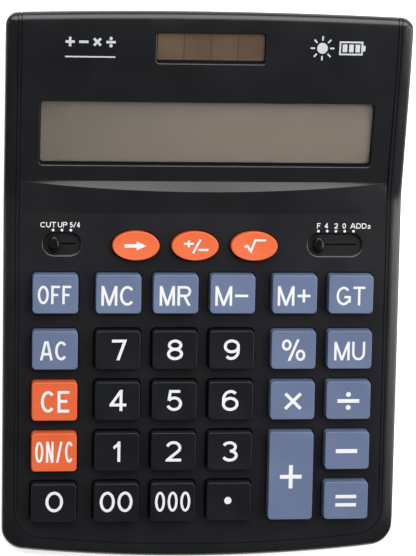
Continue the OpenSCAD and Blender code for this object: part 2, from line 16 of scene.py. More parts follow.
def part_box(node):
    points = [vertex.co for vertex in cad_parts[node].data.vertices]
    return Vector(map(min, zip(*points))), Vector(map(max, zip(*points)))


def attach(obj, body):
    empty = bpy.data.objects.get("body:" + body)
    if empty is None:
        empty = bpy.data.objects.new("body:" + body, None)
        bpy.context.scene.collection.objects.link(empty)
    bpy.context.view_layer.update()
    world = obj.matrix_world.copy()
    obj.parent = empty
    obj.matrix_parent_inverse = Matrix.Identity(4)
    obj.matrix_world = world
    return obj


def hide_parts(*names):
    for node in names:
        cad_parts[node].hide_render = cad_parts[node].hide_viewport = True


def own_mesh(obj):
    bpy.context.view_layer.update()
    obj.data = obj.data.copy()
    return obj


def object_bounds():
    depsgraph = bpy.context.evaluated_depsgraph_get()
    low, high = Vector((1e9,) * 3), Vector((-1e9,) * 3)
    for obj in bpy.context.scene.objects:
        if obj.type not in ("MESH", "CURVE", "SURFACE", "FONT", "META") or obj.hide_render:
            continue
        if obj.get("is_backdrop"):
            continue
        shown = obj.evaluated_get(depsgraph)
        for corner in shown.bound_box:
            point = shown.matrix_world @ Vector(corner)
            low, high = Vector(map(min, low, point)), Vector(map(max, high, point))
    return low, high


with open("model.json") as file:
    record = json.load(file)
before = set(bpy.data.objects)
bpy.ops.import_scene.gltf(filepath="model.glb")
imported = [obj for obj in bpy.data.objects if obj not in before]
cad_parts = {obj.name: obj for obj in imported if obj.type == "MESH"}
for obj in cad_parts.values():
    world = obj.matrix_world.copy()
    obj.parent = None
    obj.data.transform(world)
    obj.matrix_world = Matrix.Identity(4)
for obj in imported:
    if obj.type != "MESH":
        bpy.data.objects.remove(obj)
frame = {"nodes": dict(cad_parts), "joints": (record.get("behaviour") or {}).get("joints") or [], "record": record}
cad_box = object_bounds()

MM = 0.001
HOUSING = "housing"

# ---------------------------------------------------------------- driving dimensions

# Body in plan: it bows out at the front and the back
FRONT_BOW = 660
BACK_BOW = 2130
FRONT_CORNER = 7.5
BACK_CORNER = 4.75
WALL = 2.0
DRAFT = 0.035
FRONT_HEIGHT = 12.0

# Side view: slopes in degrees, and where they change
RAIL_TILT = 17.7
PANEL_TILT = 19.1
HEADER_TILT = 15.0
HEADER_START_TILT = 16.3
HEADER_END_DROP = 0.58
KINK_Y = 35.4
HEADER_Y = 77.0
HEADER_SPAN = (81, 99)
RISER_Y = 28.4
CRESCENT_Y = 40.1
CRESCENT_DEEP = 3.7
CRESCENT_HALF = 68.5
CRESCENT_TILT = 9.3
CRESCENT_TWIST = 6.0
CREASE_BOW = 1.6

# How far each change of slope is eased on both sides
KINK_EASE = 3.0
HEADER_EASE = 1.5
CREASE_EASE = 0.6

# Rounded edges of the top case
FRONT_EDGE = 2.6
SIDE_EDGE = 1.5
BACK_EDGE = 3.0
CROWN = 13.0

# Grooves along the side rails and round the front
INNER_GROOVE = 69.2
OUTER_GROOVE = 70.5
GROOVE_HALF = 0.22
GROOVE_FLOOR = 0.07
GROOVE_DEEP = 0.36
GROOVE_LINES = (-GROOVE_HALF, -GROOVE_FLOOR, GROOVE_FLOOR, GROOVE_HALF)
INNER_GROOVE_END = -86.0
FRONT_GROOVE_Y = -97.9
FRONT_GROOVE_BOW = 585
FRONT_GROOVE_CORNER = 9.0

# Openings
KEY_GAP = 0.25
KEY_HOLE_CORNER = 1.7
KEY_LIP = 0.55
FLANGE = 0.95
SWITCH_Y = 16.8
SLOT_DEPTH = 8.0
SLOT_SINK = 1.4
SLOT_LIP = 0.8
SLIT_DEPTH = 0.55
KNOB_SIZE = (4.2, 6.2)
KNOB_SINK = 0.25
LCD_SIZE = (123.8, 24.5)
LCD_Y = 57.9
SOLAR_SIZE = (39.8, 11.1)
SOLAR_Y = 89.3
GLASS_SINK = 1.3
WINDOW_FLARE = 0.1
WINDOW_LIP = 0.5
GLASS_MARGIN = (2.0, 1.6)
# Painted shade round the windows: near-black bands this wide at the sides and at the front
SHADE_BAND_SIDE = 0.2
LCD_SHADE_BAND = 1.0
SOLAR_SHADE_BAND = 0.95

# Keys
KEY_CORNER = 1.6
KEY_INSET = 0.45
KEY_TAPER = 0.5
KEY_EDGE = 0.28
KEY_REAR_TAPER = 0.35
OVAL_INSET = 0.15
KEY_DISH = 0.22
KEY_WALL = 1.5
KEY_PITCH = 19.35
FLANGE_TOP = -2.3
SKIRT_FOOT = -3.1
PRINT_HEIGHT = 0.05
MAT_SHEET = 0.82

# ---------------------------------------------------------------- slopes of the body


def flat_ring(loop, z):
    """Loop of plan points at one height."""
    return np.column_stack([loop, np.full(len(loop), z)])


class Slope:
    """A sloping face of the body. Its own places are (x, distance up the slope, height above it)."""

    def __init__(self, y, z, degrees):
        self.y, self.z = y, z
        self.tan = math.tan(math.radians(degrees))
        self.cos = math.cos(math.radians(degrees))
        self.sin = math.sin(math.radians(degrees))
        self.normal = np.array([0.0, -self.sin, self.cos])

    def height(self, y):
        return self.z + (y - self.y) * self.tan

    def up(self, y):
        return (y - self.y) / self.cos

    def place(self, points):
        points = np.asarray(points, float)
        x, up, above = points[:, 0], points[:, 1], points[:, 2]
        return np.column_stack([
            x,
            self.y + up * self.cos - above * self.sin,
            self.z + up * self.sin + above * self.cos,
        ])

    def ring(self, loop, above):
        """Loop of the slope's own places at one height above it."""
        return self.place(flat_ring(loop, above))

    def local(self, points):
        points = np.asarray(points, float)
        y, z = points[:, 1] - self.y, points[:, 2] - self.z
        return np.column_stack([points[:, 0], y * self.cos + z * self.sin, z * self.cos - y * self.sin])


case_low, case_high = (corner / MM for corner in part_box("top_case"))
HALF_W, HALF_L = case_high.x, case_high.y
PARTING_Z = case_low.z
press_axis = next(j["axis"] for j in frame["joints"] if j["name"] == "press_7")
KEYPAD_TILT = math.degrees(math.atan2(press_axis[1], -press_axis[2]))

KEYPAD = Slope(-HALF_L, FRONT_HEIGHT, KEYPAD_TILT)
RAIL = Slope(KINK_Y, KEYPAD.height(KINK_Y), RAIL_TILT)
PANEL = Slope(HEADER_Y, RAIL.height(HEADER_Y), PANEL_TILT)
HEADER = Slope(HEADER_Y, RAIL.height(HEADER_Y), HEADER_TILT)


def node_points(node):
    """Corners of a CAD node's mesh."""
    return np.array([v.co for v in frame["nodes"][node].data.vertices]) / MM


def node_extent(node, slope):
    """Lowest and highest corners of a CAD node, in a slope's own places."""
    local = slope.local(node_points(node))
    return local.min(0), local.max(0)


# ---------------------------------------------------------------- mesh building


def arc_points(cx, cy, radius, start, end, steps):
    angles = np.radians(np.linspace(start, end, steps + 1))
    return np.column_stack([cx + radius * np.cos(angles), cy + radius * np.sin(angles)])


def round_rect(width, depth, corner, steps=5):
    """Closed loop of a rectangle with round corners, anticlockwise."""
    corner = max(corner, 0.02)
    x, y = width / 2 - corner, depth / 2 - corner
    return np.vstack([
        arc_points(x, y, corner, 0, 90, steps),
        arc_points(-x, y, corner, 90, 180, steps),
        arc_points(-x, -y, corner, 180, 270, steps),
        arc_points(x, -y, corner, 270, 360, steps),
    ])


def oval(width, depth, steps=40):
    angles = np.linspace(0, 2 * math.pi, steps, endpoint=False)
    return np.column_stack([width / 2 * np.cos(angles), depth / 2 * np.sin(angles)])


def stadium(left, right, depth, steps=12):
    """Slot with round ends."""
    r = depth / 2
    return np.vstack([
        arc_points(right - r, 0, r, -90, 90, steps),
        arc_points(left + r, 0, r, 90, 270, steps),
    ])


def inside(points, loop):
    """Which points lie in a closed loop."""
    x, y = points[:, 0][:, None], points[:, 1][:, None]
    x0, y0 = loop[:, 0][None], loop[:, 1][None]
    x1, y1 = np.roll(loop[:, 0], -1)[None], np.roll(loop[:, 1], -1)[None]
    rise = np.where(y1 == y0, 1e-12, y1 - y0)
    crosses = ((y0 > y) != (y1 > y)) & (x < x0 + (y - y0) * (x1 - x0) / rise)
    return crosses.sum(1) % 2 == 1


def loop_edges(first, count):
    """Edges of a closed loop of points that are numbered in turn."""
    return [(first + k, first + (k + 1) % count) for k in range(count)]


def triangulated(flat, edges, tolerance):
    """Points and triangles of a plan that keeps given edges, and the given points that each came from."""
    result = delaunay_2d_cdt([Vector(p) for p in flat], edges, [], 0, tolerance)
    places = np.array([tuple(p) for p in result[0]])
    triangles = np.array([tuple(t) for t in result[2]])
    return places, triangles, result[3]


class Shell:
    """A mesh under construction, in millimetres."""

    def __init__(self):
        self.points = []
        self.faces = []

    def add(self, points):
        start = len(self.points)
        self.points += [tuple(float(c) for c in p) for p in points]
        return list(range(start, len(self.points)))

    def face(self, ids):
        if len(set(ids)) > 2:
            self.faces.append(tuple(ids))

    def plan(self, ids):
        """Plan places of some points."""
        return np.array([self.points[i][:2] for i in ids])

    def band(self, low, high):
        """Four-sided faces between two closed loops with the same number of points."""
        for k, after in loop_edges(0, len(low)):
            self.face((low[k], low[after], high[after], high[k]))

    def wall(self, loops):
        """Bands between loops in turn."""
        for low, high in zip(loops, loops[1:]):
            self.band(low, high)

    def cap(self, loop, centre):
        """Fan from a loop to one point."""
        tip = self.add([centre])[0]
        for k, after in loop_edges(0, len(loop)):
            self.face((loop[k], loop[after], tip))

    def fill(self, outer, holes, height, guides=(), spots=()):
        """Triangles between an outer loop and hole loops, which follow guide lines and spots in plan."""
        flat, ids, edges = [], [], []
        for loop in [outer, *holes]:
            edges += loop_edges(len(flat), len(loop))
            flat += [self.points[i][:2] for i in loop]
            ids += loop
        for line in guides:
            edges += loop_edges(len(flat), len(line))[:-1]
            flat += [tuple(p) for p in line]
        flat += [tuple(p) for p in spots]
        places, triangles, sources = triangulated(flat, edges, 1e-5)
        centres = places[triangles].mean(1)
        keep = inside(centres, self.plan(outer))
        for hole in holes:
            keep &= ~inside(centres, self.plan(hole))
        heights = height(places[:, 0], places[:, 1])
        known = {}
        for triangle in triangles[keep]:
            for v in triangle:
                if v not in known:
                    old = [s for s in sources[v] if s < len(ids)]
                    known[v] = ids[old[0]] if old else self.add([(*places[v], heights[v])])[0]
            self.face([known[v] for v in triangle])

    def lathe(self, rings):
        """Closed solid from rings with the same number of points; its ends are closed by fans."""
        loops = [self.add(ring) for ring in rings]
        self.wall(loops)
        self.cap(loops[0][::-1], np.mean(rings[0], 0))
        self.cap(loops[-1], np.mean(rings[-1], 0))

    def turned(self, centre, profile, ring=flat_ring, steps=20):
        """Round solid from radii and heights, from the bottom up."""
        circle = oval(2, 2, steps)
        self.lathe([ring(circle * radius + centre, z) for radius, z in profile])

    def piece(self, name, finish, sharp=40):
        mesh = bpy.data.meshes.new(name)
        mesh.from_pydata([tuple(c * MM for c in p) for p in self.points], [], self.faces)
        build = bmesh.new()
        build.from_mesh(mesh)
        bmesh.ops.recalc_face_normals(build, faces=build.faces)
        build.to_mesh(mesh)
        build.free()
        mesh.materials.append(materials[finish])
        piece = smoothed(name, mesh, sharp)
        weighted = piece.modifiers.new("weighted_normals", "WEIGHTED_NORMAL")
        weighted.keep_sharp = True
        return piece


def linked(name, data):
    """New object in the scene."""
    piece = bpy.data.objects.new(name, data)
    bpy.context.scene.collection.objects.link(piece)
    return piece


def smoothed(name, mesh, sharp):
    """New object of a mesh, shaded smooth apart from edges sharper than an angle in degrees."""
    mesh.shade_smooth()
    mesh.set_sharp_from_angle(angle=math.radians(sharp))
    return linked(name, mesh)


def fit_out(piece, body, slot, *nodes):
    """Says which body a piece rides on, and which CAD nodes it stands for by hiding them. The slot argument is not
    used.
    """
    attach(piece, body)
    if nodes:
        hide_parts(*nodes)
    return piece


# ---------------------------------------------------------------- materials


class Finish:
    """A material under construction, round its Principled shader."""

    def __init__(self, name):
        self.material = bpy.data.materials.new(name)
        self.material.use_nodes = True
        self.tree = self.material.node_tree
        self.place = self.node("TexCoord", {}).outputs["Object"]

    def connect(self, node, inputs):
        """Sets a node's inputs: each is a number, a colour or another node's output."""
        for name, value in inputs.items():
            if isinstance(value, bpy.types.NodeSocket):
                self.tree.links.new(value, node.inputs[name])
            else:
                node.inputs[name].default_value = value

    def node(self, kind, inputs, **settings):
        node = self.tree.nodes.new("ShaderNode" + kind)
        for setting, value in settings.items():
            setattr(node, setting, value)
        self.connect(node, inputs)
        return node

    def shaded(self, inputs):
        """The finished material."""
        self.connect(self.tree.nodes["Principled BSDF"], inputs)
        return self.material

    def noise(self, scale, detail):
        """Noise in object space; scale is in cells per metre."""
        inputs = {"Scale": scale, "Detail": detail, "Roughness": 0.55, "Vector": self.place}
        return self.node("TexNoise", inputs).outputs["Fac"]

    def along_x(self, start, end, high=1.0, clamp=True):
        """Number that runs from 0 to high between two places along X, in metres."""
        split = self.node("SeparateXYZ", {"Vector": self.place})
        inputs = {"Value": split.outputs["X"], "From Min": start, "From Max": end, "To Max": high}
        return self.node("MapRange", inputs, clamp=clamp).outputs["Result"]

    def spread(self, factor, low, high):
        """Number that runs from low to high with a factor."""
        return self.node("MapRange", {"Value": factor, "To Min": low, "To Max": high}).outputs["Result"]

    def ramp(self, factor, low, high, start=0.35, end=0.65):
        """Colour that runs from low to high as the factor goes from start to end."""
        blend = self.node("ValToRGB", {"Fac": factor})
        for element, position, colour in zip(blend.color_ramp.elements, (start, end), (low, high)):
            element.position = position
            element.color = (*colour, 1)
        return blend.outputs["Color"]

    def bump(self, factor, strength, distance):
        inputs = {"Strength": strength, "Distance": distance, "Height": factor}
        return self.node("Bump", inputs).outputs["Normal"]


def toned(colour, share):
    return tuple(c * share for c in colour)


def plastic(name, colour, rough=0.42, grain=5200, grain_depth=0.000012, mottle=0.12, specular=0.5):
    """Moulded plastic: fine spark texture, faint mottling of tone and of gloss."""
    finish = Finish(name)
    tone = finish.noise(55, 4)
    return finish.shaded({
        "Base Color": finish.ramp(tone, toned(colour, 1 - mottle), toned(colour, 1 + mottle)),
        "Roughness": finish.spread(tone, rough - 0.05, rough + 0.05),
        "Normal": finish.bump(finish.noise(grain, 2), 0.35, grain_depth),
        "Specular IOR Level": specular,
    })


def metal(name, colour, rough=0.3, brushed=900):
    """Plated metal with fine drawn lines."""
    finish = Finish(name)
    drawn = finish.node("Mapping", {"Vector": finish.place, "Scale": (brushed, brushed, brushed / 12)})
    lines = finish.node("TexNoise", {"Vector": drawn.outputs["Vector"], "Scale": 6}).outputs["Fac"]
    return finish.shaded({
        "Base Color": finish.ramp(lines, toned(colour, 0.8), colour),
        "Roughness": finish.spread(lines, rough - 0.08, rough + 0.1),
        "Normal": finish.bump(lines, 0.2, 0.00001),
        "Metallic": 1.0,
    })


def clear_window():
    """Clear acrylic with faint haze."""
    finish = Finish("clear_window")
    return finish.shaded({
        "Base Color": (0.97, 0.97, 0.96, 1),
        "Transmission Weight": 1.0,
        "IOR": 1.49,
        "Roughness": finish.spread(finish.noise(30, 2), 0.02, 0.06),
    })


def lcd_glass(left, middle):
    """Resting display: grey-taupe polariser, faintly cloudy, with painted shade that darkens it towards its left
    end. Places are in metres."""
    finish = Finish("lcd_glass")
    cloud = finish.noise(14, 3)
    # painted shade: the colour darkens from the middle of the display towards its left end
    inputs = {0: cloud, 1: 0.25, 2: finish.along_x(left, middle)}
    blend = finish.node("Math", inputs, operation="MULTIPLY_ADD").outputs["Value"]
    return finish.shaded({
        "Base Color": finish.ramp(blend, (0.2, 0.168, 0.13), (0.262, 0.215, 0.176), 0.1, 1.1),
        "Roughness": finish.spread(cloud, 0.42, 0.52),
        "Normal": finish.bump(finish.noise(9000, 1), 0.15, 0.000004),
    })


def solar_film(left, right, cells=4, gap=0.03):
    """Amorphous silicon: brown film in cells with fine dark gaps between them. Ends are in metres."""
    finish = Finish("solar_film")
    place = finish.along_x(left, right, cells, clamp=False)
    edge = finish.node("Math", {0: place, 1: 0.5}, operation="PINGPONG").outputs["Value"]
    share = finish.node("MapRange", {"Value": edge, "From Max": gap}).outputs["Result"]
    cloud = finish.noise(60, 4)
    film = finish.ramp(cloud, (0.055, 0.035, 0.021), (0.076, 0.05, 0.031), 0.3, 0.7)
    inputs = {"Factor": share, "A": (0.035, 0.022, 0.014, 1), "B": film}
    return finish.shaded({
        "Base Color": finish.node("Mix", inputs, data_type="RGBA").outputs["Result"],
        "Roughness": finish.spread(cloud, 0.22, 0.34),
    })


BLACK = (0.0042, 0.0044, 0.0056)
PLASTICS = {
    "case_black": {"colour": BLACK, "rough": 0.3, "specular": 0.39},
    "base_black": {"colour": BLACK, "rough": 0.5, "grain": 2600, "grain_depth": 0.00004, "specular": 0.4},
    "key_black": {"colour": (0.0038, 0.0042, 0.0056), "rough": 0.34, "specular": 0.23},
    "key_blue": {"colour": (0.071, 0.094, 0.16), "rough": 0.4, "mottle": 0.05, "specular": 0.35},
    "key_pale_blue": {"colour": (0.074, 0.098, 0.168), "rough": 0.4, "mottle": 0.05, "specular": 0.35},
    "key_orange": {"colour": (0.43, 0.07, 0.018), "rough": 0.4, "mottle": 0.04, "specular": 0.35},
    "oval_orange": {"colour": (0.462, 0.077, 0.018), "rough": 0.45, "mottle": 0.04, "specular": 0.41},
    "knob": {"colour": (0.002, 0.002, 0.0025), "rough": 0.24, "specular": 0.22},
    "legend_white": {"colour": (0.465, 0.468, 0.478), "rough": 0.5, "mottle": 0.03},
    # near-black matt finish of the painted shade round the windows
    "window_painted_shade": {"colour": (0.0015, 0.0015, 0.002), "rough": 0.7, "specular": 0.1},
    "mark_grey": {"colour": (0.35, 0.37, 0.4), "rough": 0.5, "mottle": 0.03},
    "holder_white": {"colour": (0.62, 0.62, 0.58), "rough": 0.5},
    "holder_dark": {"colour": (0.03, 0.03, 0.033), "rough": 0.5},
    "ribbon": {"colour": (0.42, 0.2, 0.05), "rough": 0.3},
    "board_green": {"colour": (0.01, 0.035, 0.016), "rough": 0.4, "mottle": 0.25},
    "epoxy": {"colour": (0.008, 0.008, 0.008), "rough": 0.2},
    "capacitor": {"colour": (0.025, 0.035, 0.075), "rough": 0.3},
    "silicone": {"colour": (0.55, 0.55, 0.52), "rough": 0.6},
    "cell_sleeve": {"colour": (0.07, 0.19, 0.09), "rough": 0.3},
    "lead_red": {"colour": (0.45, 0.015, 0.015), "rough": 0.45},
    "lead_black": {"colour": (0.015, 0.015, 0.015), "rough": 0.45},
    "foot_rubber": {"colour": (0.028, 0.028, 0.03), "rough": 0.8, "grain": 1800, "grain_depth": 0.00005},
    "label": {"colour": (0.45, 0.45, 0.44), "rough": 0.35, "mottle": 0.06},
}
materials = {name: plastic(name, **look) for name, look in PLASTICS.items()}
materials |= {
    "clear_window": clear_window(),
    "lcd_glass": lcd_glass(-LCD_SIZE[0] / 2 * MM, 0.01),
    "solar_film": solar_film(-SOLAR_SIZE[0] / 2 * MM, SOLAR_SIZE[0] / 2 * MM),
    "plated_steel": metal("plated_steel", (0.62, 0.62, 0.61)),
    "contact_brass": metal("contact_brass", (0.72, 0.55, 0.27)),
    "screw_steel": metal("screw_steel", (0.5, 0.5, 0.52), rough=0.35),
}

# ---------------------------------------------------------------- top of the case as a height over the plan


def bend(t, change, half):
    """Extra height after a change of slope at t = 0, eased over half on each side."""
    eased = change * (t + half) ** 2 / (4 * half)
    return np.where(t < -half, 0.0, np.where(t > half, change * t, eased))


HEADER_START = math.tan(math.radians(HEADER_START_TILT))
HEADER_RISE = (HALF_L - HEADER_Y) * (HEADER_START - HEADER.tan)
HEADER_CURVE = (HEADER_RISE + HEADER_END_DROP) / (HALF_L - HEADER_Y) ** 2


def crease_y(x):
    """Where the display panel turns into the header."""
    return HEADER_Y + 1 - CREASE_BOW * (x / CRESCENT_HALF) ** 2


def ridge_y(x):
    """Front edge of the crescent."""
    return CRESCENT_Y - CRESCENT_DEEP * np.clip(1 - (x / CRESCENT_HALF) ** 2, 0, 1)


def header_sag(y):
    """How far the header curves down from its slope at its start."""
    return HEADER_CURVE * np.clip(y - HEADER_Y, 0, None) ** 2


def rail_height(y):
    start = KEYPAD.height(y) + bend(y - KINK_Y, RAIL.tan - KEYPAD.tan, KINK_EASE)
    return start + bend(y - HEADER_Y, HEADER_START - RAIL.tan, HEADER_EASE) - header_sag(y)


def middle_height(x, y):
    """Keypad, riser, crescent, display panel and header between the side rails."""
    ridge = ridge_y(x)
    floor = PANEL.height(CRESCENT_Y)
    fall = np.tan(np.radians(CRESCENT_TILT + CRESCENT_TWIST * np.clip(np.abs(x) / CRESCENT_HALF, 0, 1)))
    ridge_z = floor + (CRESCENT_Y - ridge) * fall
    share = np.clip((y - RISER_Y) / (ridge - RISER_Y), 0, 1)
    riser = KEYPAD.height(y) + share * (ridge_z - KEYPAD.height(ridge))
    facet = floor + (CRESCENT_Y - y) * fall
    panel = PANEL.height(y) + bend(y - crease_y(x), HEADER_START - PANEL.tan, CREASE_EASE) - header_sag(y)
    return np.where(y < ridge, riser, np.where(y < CRESCENT_Y, facet, panel))


def front_groove_path(out=0.0, steps=14):
    """Outer groove, from the back along the right side, round the front and back along the left side, moved
    outwards by a distance."""
    corner_x = OUTER_GROOVE - FRONT_GROOVE_CORNER

    def front_y(x):
        return FRONT_GROOVE_Y + x * x / (2 * FRONT_GROOVE_BOW)

    radius = FRONT_GROOVE_CORNER + out
    angles = np.radians(np.linspace(90, 0, steps + 1))
    x = corner_x + radius * np.sin(angles)
    corner = np.column_stack([x, front_y(x) - out + radius * (1 - np.cos(angles))])
    straight = np.arange(HALF_L - BACK_EDGE - 6, corner[0, 1] + 3, -12)
    right = np.column_stack([np.full(len(straight), corner[0, 0]), straight])
    xs = np.linspace(corner_x, -corner_x, 26)[1:-1]
    front = np.column_stack([xs, front_y(xs) - out])
    mirror = np.array([-1, 1])
    return np.vstack([right, corner, front, corner[::-1] * mirror, right[::-1] * mirror])


def reaching_back(path, y):
    """A path round the front with both its ends carried on to y."""
    return np.vstack([[path[0, 0], y], path, [-path[0, 0], y]])


groove_line = reaching_back(front_groove_path(steps=24), HALF_L + 5)


def line_distance(points, line):
    """Distance from points to a polyline."""
    a, b = line[:-1][None], line[1:][None]
    p = points[:, None]
    along = np.clip(((p - a) * (b - a)).sum(2) / ((b - a) ** 2).sum(2), 0, 1)
    return np.sqrt((((a + along[..., None] * (b - a)) - p) ** 2).sum(2)).min(1)


def groove_dip(distance):
    return GROOVE_DEEP * np.clip((GROOVE_HALF - distance) / (GROOVE_HALF - GROOVE_FLOOR), 0, 1)


def smooth_height(x, y):
    """Top of the case without its grooves."""
    x, y = np.atleast_1d(np.asarray(x, float)), np.atleast_1d(np.asarray(y, float))
    side = np.clip((np.abs(x) - (INNER_GROOVE - GROOVE_HALF)) / (2 * GROOVE_HALF), 0, 1)
    base = middle_height(x, y) * (1 - side) + rail_height(y) * side
    points = np.column_stack([x, y])
    beyond = np.where(inside(points, groove_line), 0.0, line_distance(points, groove_line))
    return base - beyond ** 2 / (2 * CROWN)


def case_height(x, y):
    """Top of the case with its grooves."""
    x, y = np.atleast_1d(np.asarray(x, float)), np.atleast_1d(np.asarray(y, float))
    outer = groove_dip(line_distance(np.column_stack([x, y]), groove_line))
    fade = np.clip((y - INNER_GROOVE_END) / 3, 0, 1)
    inner = groove_dip(np.abs(np.abs(x) - INNER_GROOVE)) * fade
    return smooth_height(x, y) - outer - inner


# ---------------------------------------------------------------- plan outline of the body


def outline_columns():
    """Places round the body: which side, and where along it. They run anticlockwise from the front."""
    front_x = HALF_W - FRONT_CORNER
    straight = np.round(np.linspace(0, HALF_W - BACK_CORNER, 13), 3)
    back = sorted({*straight, *(INNER_GROOVE + d for d in GROOVE_LINES)})
    back += [OUTER_GROOVE + d for d in GROOVE_LINES]
    right = [("front_corner", a) for a in np.linspace(0, 90, 10)]
    right += [("side", y) for y in np.linspace(-88, HALF_L - BACK_CORNER - 3, 34)]
    right += [("back_corner", a) for a in np.linspace(90, 0, 9)[:-1]]
    right += [("back", x) for x in reversed(back)]
    left = [(*column, -1) for column in reversed(right) if column != ("back", 0.0)]
    front = [("front", x, 1) for x in np.linspace(-front_x, front_x, 28)[1:-1]]
    return [(*column, 1) for column in right] + left + front


def outline_point(column, inset):
    """Plan point of the body's outline, moved in by a distance."""
    kind, place, side = column
    if kind in ("front", "front_corner"):
        angle = math.radians(place) if kind == "front_corner" else 0
        radius = FRONT_CORNER - inset
        x = HALF_W - FRONT_CORNER + radius * math.sin(angle) if kind == "front_corner" else place
        y = -HALF_L + inset + x * x / (2 * FRONT_BOW) + radius * (1 - math.cos(angle))
        return side * x, y
    if kind == "side":
        return side * (HALF_W - inset), place
    centre = HALF_W - BACK_CORNER
    radius = BACK_CORNER - inset
    if kind == "back_corner":
        # the first angle is set by the last straight column, so the grooves run straight over the edge
        start = math.asin((OUTER_GROOVE + GROOVE_HALF + 0.1 - centre) / radius)
        angle = start + math.radians(place) * (1 - start / (math.pi / 2))
        x = centre + radius * math.sin(angle)
    else:
        x = place
    drop = radius - math.sqrt(max(radius ** 2 - max(x - centre, 0) ** 2, 0))
    return side * x, HALF_L - inset - x * x / (2 * BACK_BOW) - drop


def edge_radius(column):
    """Radius of the rounded top edge, which changes over the corners."""
    kind, place, _ = column
    if kind == "front":
        return FRONT_EDGE
    if kind == "back":
        return BACK_EDGE
    if kind == "side":
        return SIDE_EDGE
    share = (1 - math.cos(math.radians(place) * 2)) / 2
    return (FRONT_EDGE if kind == "front_corner" else BACK_EDGE) * (1 - share) + SIDE_EDGE * share


def edge_rings(columns, steps=6):
    """Rings of points from the tangent line of the rounded edge down to the top of the side wall."""
    radii = np.array([edge_radius(c) for c in columns])
    inner = np.array([outline_point(c, r) for c, r in zip(columns, radii)])
    before = np.array([outline_point(c, r + 0.3) for c, r in zip(columns, radii)])
    step = np.linalg.norm(inner - before, axis=1)
    slope = (smooth_height(*inner.T) - smooth_height(*before.T)) / step
    first = math.pi / 2 + np.arctan(slope)
    insets = radii * (1 - np.cos(first))
    tangent = np.array([outline_point(c, i) for c, i in zip(columns, insets)])
    top = smooth_height(*tangent.T)
    rings = []
    for k in range(steps + 1):
        angle = first * (1 - k / steps)
        plan = np.array([outline_point(c, i) for c, i in zip(columns, radii * (1 - np.cos(angle)))])
        z = top - radii * (np.sin(first) - np.sin(angle))
        dip = case_height(*tangent.T) - top
        outward = np.array([0.0, 1.0]) * (np.cos(angle) * dip)[:, None]
        rings.append(np.column_stack([plan + outward, z + np.sin(angle) * dip]))
    return rings


# ---------------------------------------------------------------- top case


def cut(shell, slope, loop_at, lip, depth, flare=0.0, ledge=None):
    """Hole through the top of the case with a round lip, and with a ledge that widens it below where one is
    given. loop_at(offset) gives its loop on the slope, depth is its wall's, and flare is how far the lip
    starts outside the wall. Returns its top and bottom loops."""
    rings = [(flare + lip * (1 - math.sin(a)), lip * (1 - math.cos(a))) for a in np.radians([0, 22, 45, 68])]
    loops = [hole_ring(slope, loop_at(offset), sunk) for offset, sunk in [*rings, (0.0, depth)]]
    if ledge is not None:
        loops += [hole_ring(slope, ledge, sunk) for sunk in (depth, WALL)]
    ids = [shell.add(loop) for loop in loops]
    shell.wall(ids[::-1])
    return ids[0], ids[-1]


def hole_ring(slope, loop, depth):
    """Loop of a slope's own places, sunk by a depth into the top of the case."""
    plan = slope.ring(loop, 0.0)
    plan[:, 2] = smooth_height(plan[:, 0], plan[:, 1])
    return plan - depth * slope.normal


def grown(loop):
    """Function that gives a loop moved outwards by an offset."""
    before, after = np.roll(loop, 1, 0), np.roll(loop, -1, 0)
    ahead = after - before
    for k in np.nonzero(np.linalg.norm(ahead, axis=1) < 1e-9)[0]:
        ahead[k] = after[k] - loop[k]
    ahead /= np.linalg.norm(ahead, axis=1)[:, None]
    outward = np.column_stack([ahead[:, 1], -ahead[:, 0]])
    return lambda offset: loop + outward * offset


def grown_rect(centre, width, depth, corner):
    """Function that gives a round-cornered rectangle moved outwards by an offset."""
    base = round_rect(width, depth, corner)
    n = len(base) // 4
    angles = np.radians(np.concatenate([np.linspace(a, a + 90, n) for a in (0, 90, 180, 270)]))
    outward = np.column_stack([np.cos(angles), np.sin(angles)])
    return lambda offset: centre + base + outward * offset


KEY_NODES = sorted(n for n in frame["nodes"] if n.startswith("key_") and n != "key_mat")
OVAL_KEYS = ("key_shift", "key_sign", "key_root")
# How far each switch's slot runs past its knob's middle, on the left at rest and on the right at full travel
SWITCHES = {"rounding": (3.9, 3.2), "decimal": (3.95, 3.13)}


def key_size(node):
    """Centre, size and height of a key, from its node."""
    low, high = node_extent(node, KEYPAD)
    return (low[:2] + high[:2]) / 2, high[:2] - low[:2] - 2 * FLANGE, high[2]


def switch_place(name):
    """Knob's place and travel, and the ends of its slot."""
    before, after = SWITCHES[name]
    low, high = node_extent(name + "_knob", KEYPAD)
    travel = next(j["range_m"][1] for j in frame["joints"] if j["name"] == name + "_slide") / MM
    x = (low[0] + high[0]) / 2
    return x, travel, x - before, x + travel + after


def case_holes(shell):
    """Every opening in the top of the case, each as its top and bottom loops."""
    holes = []
    for node in KEY_NODES:
        centre, size, _ = key_size(node)
        if node in OVAL_KEYS:
            loop_at = grown(centre + oval(*(size - 2 * (OVAL_INSET - KEY_GAP))))
        else:
            loop_at = grown_rect(centre, *(size - 2 * (KEY_INSET - KEY_GAP)), KEY_HOLE_CORNER)
        holes.append(cut(shell, KEYPAD, loop_at, KEY_LIP, WALL))
    holes += [switch_slot(shell, name) for name in SWITCHES]
    for slope, y, size, corner in ((PANEL, LCD_Y, LCD_SIZE, 1.2), (HEADER, SOLAR_Y, SOLAR_SIZE, 0.8)):
        centre = np.array([0, slope.up(y)])
        ledge = grown_rect(centre, size[0] + 2 * GLASS_MARGIN[0], size[1] + 2 * GLASS_MARGIN[1], corner)(0.0)
        loop_at = grown_rect(centre, *size, corner)
        holes.append(cut(shell, slope, loop_at, WINDOW_LIP, GLASS_SINK, WINDOW_FLARE, ledge))
    return holes


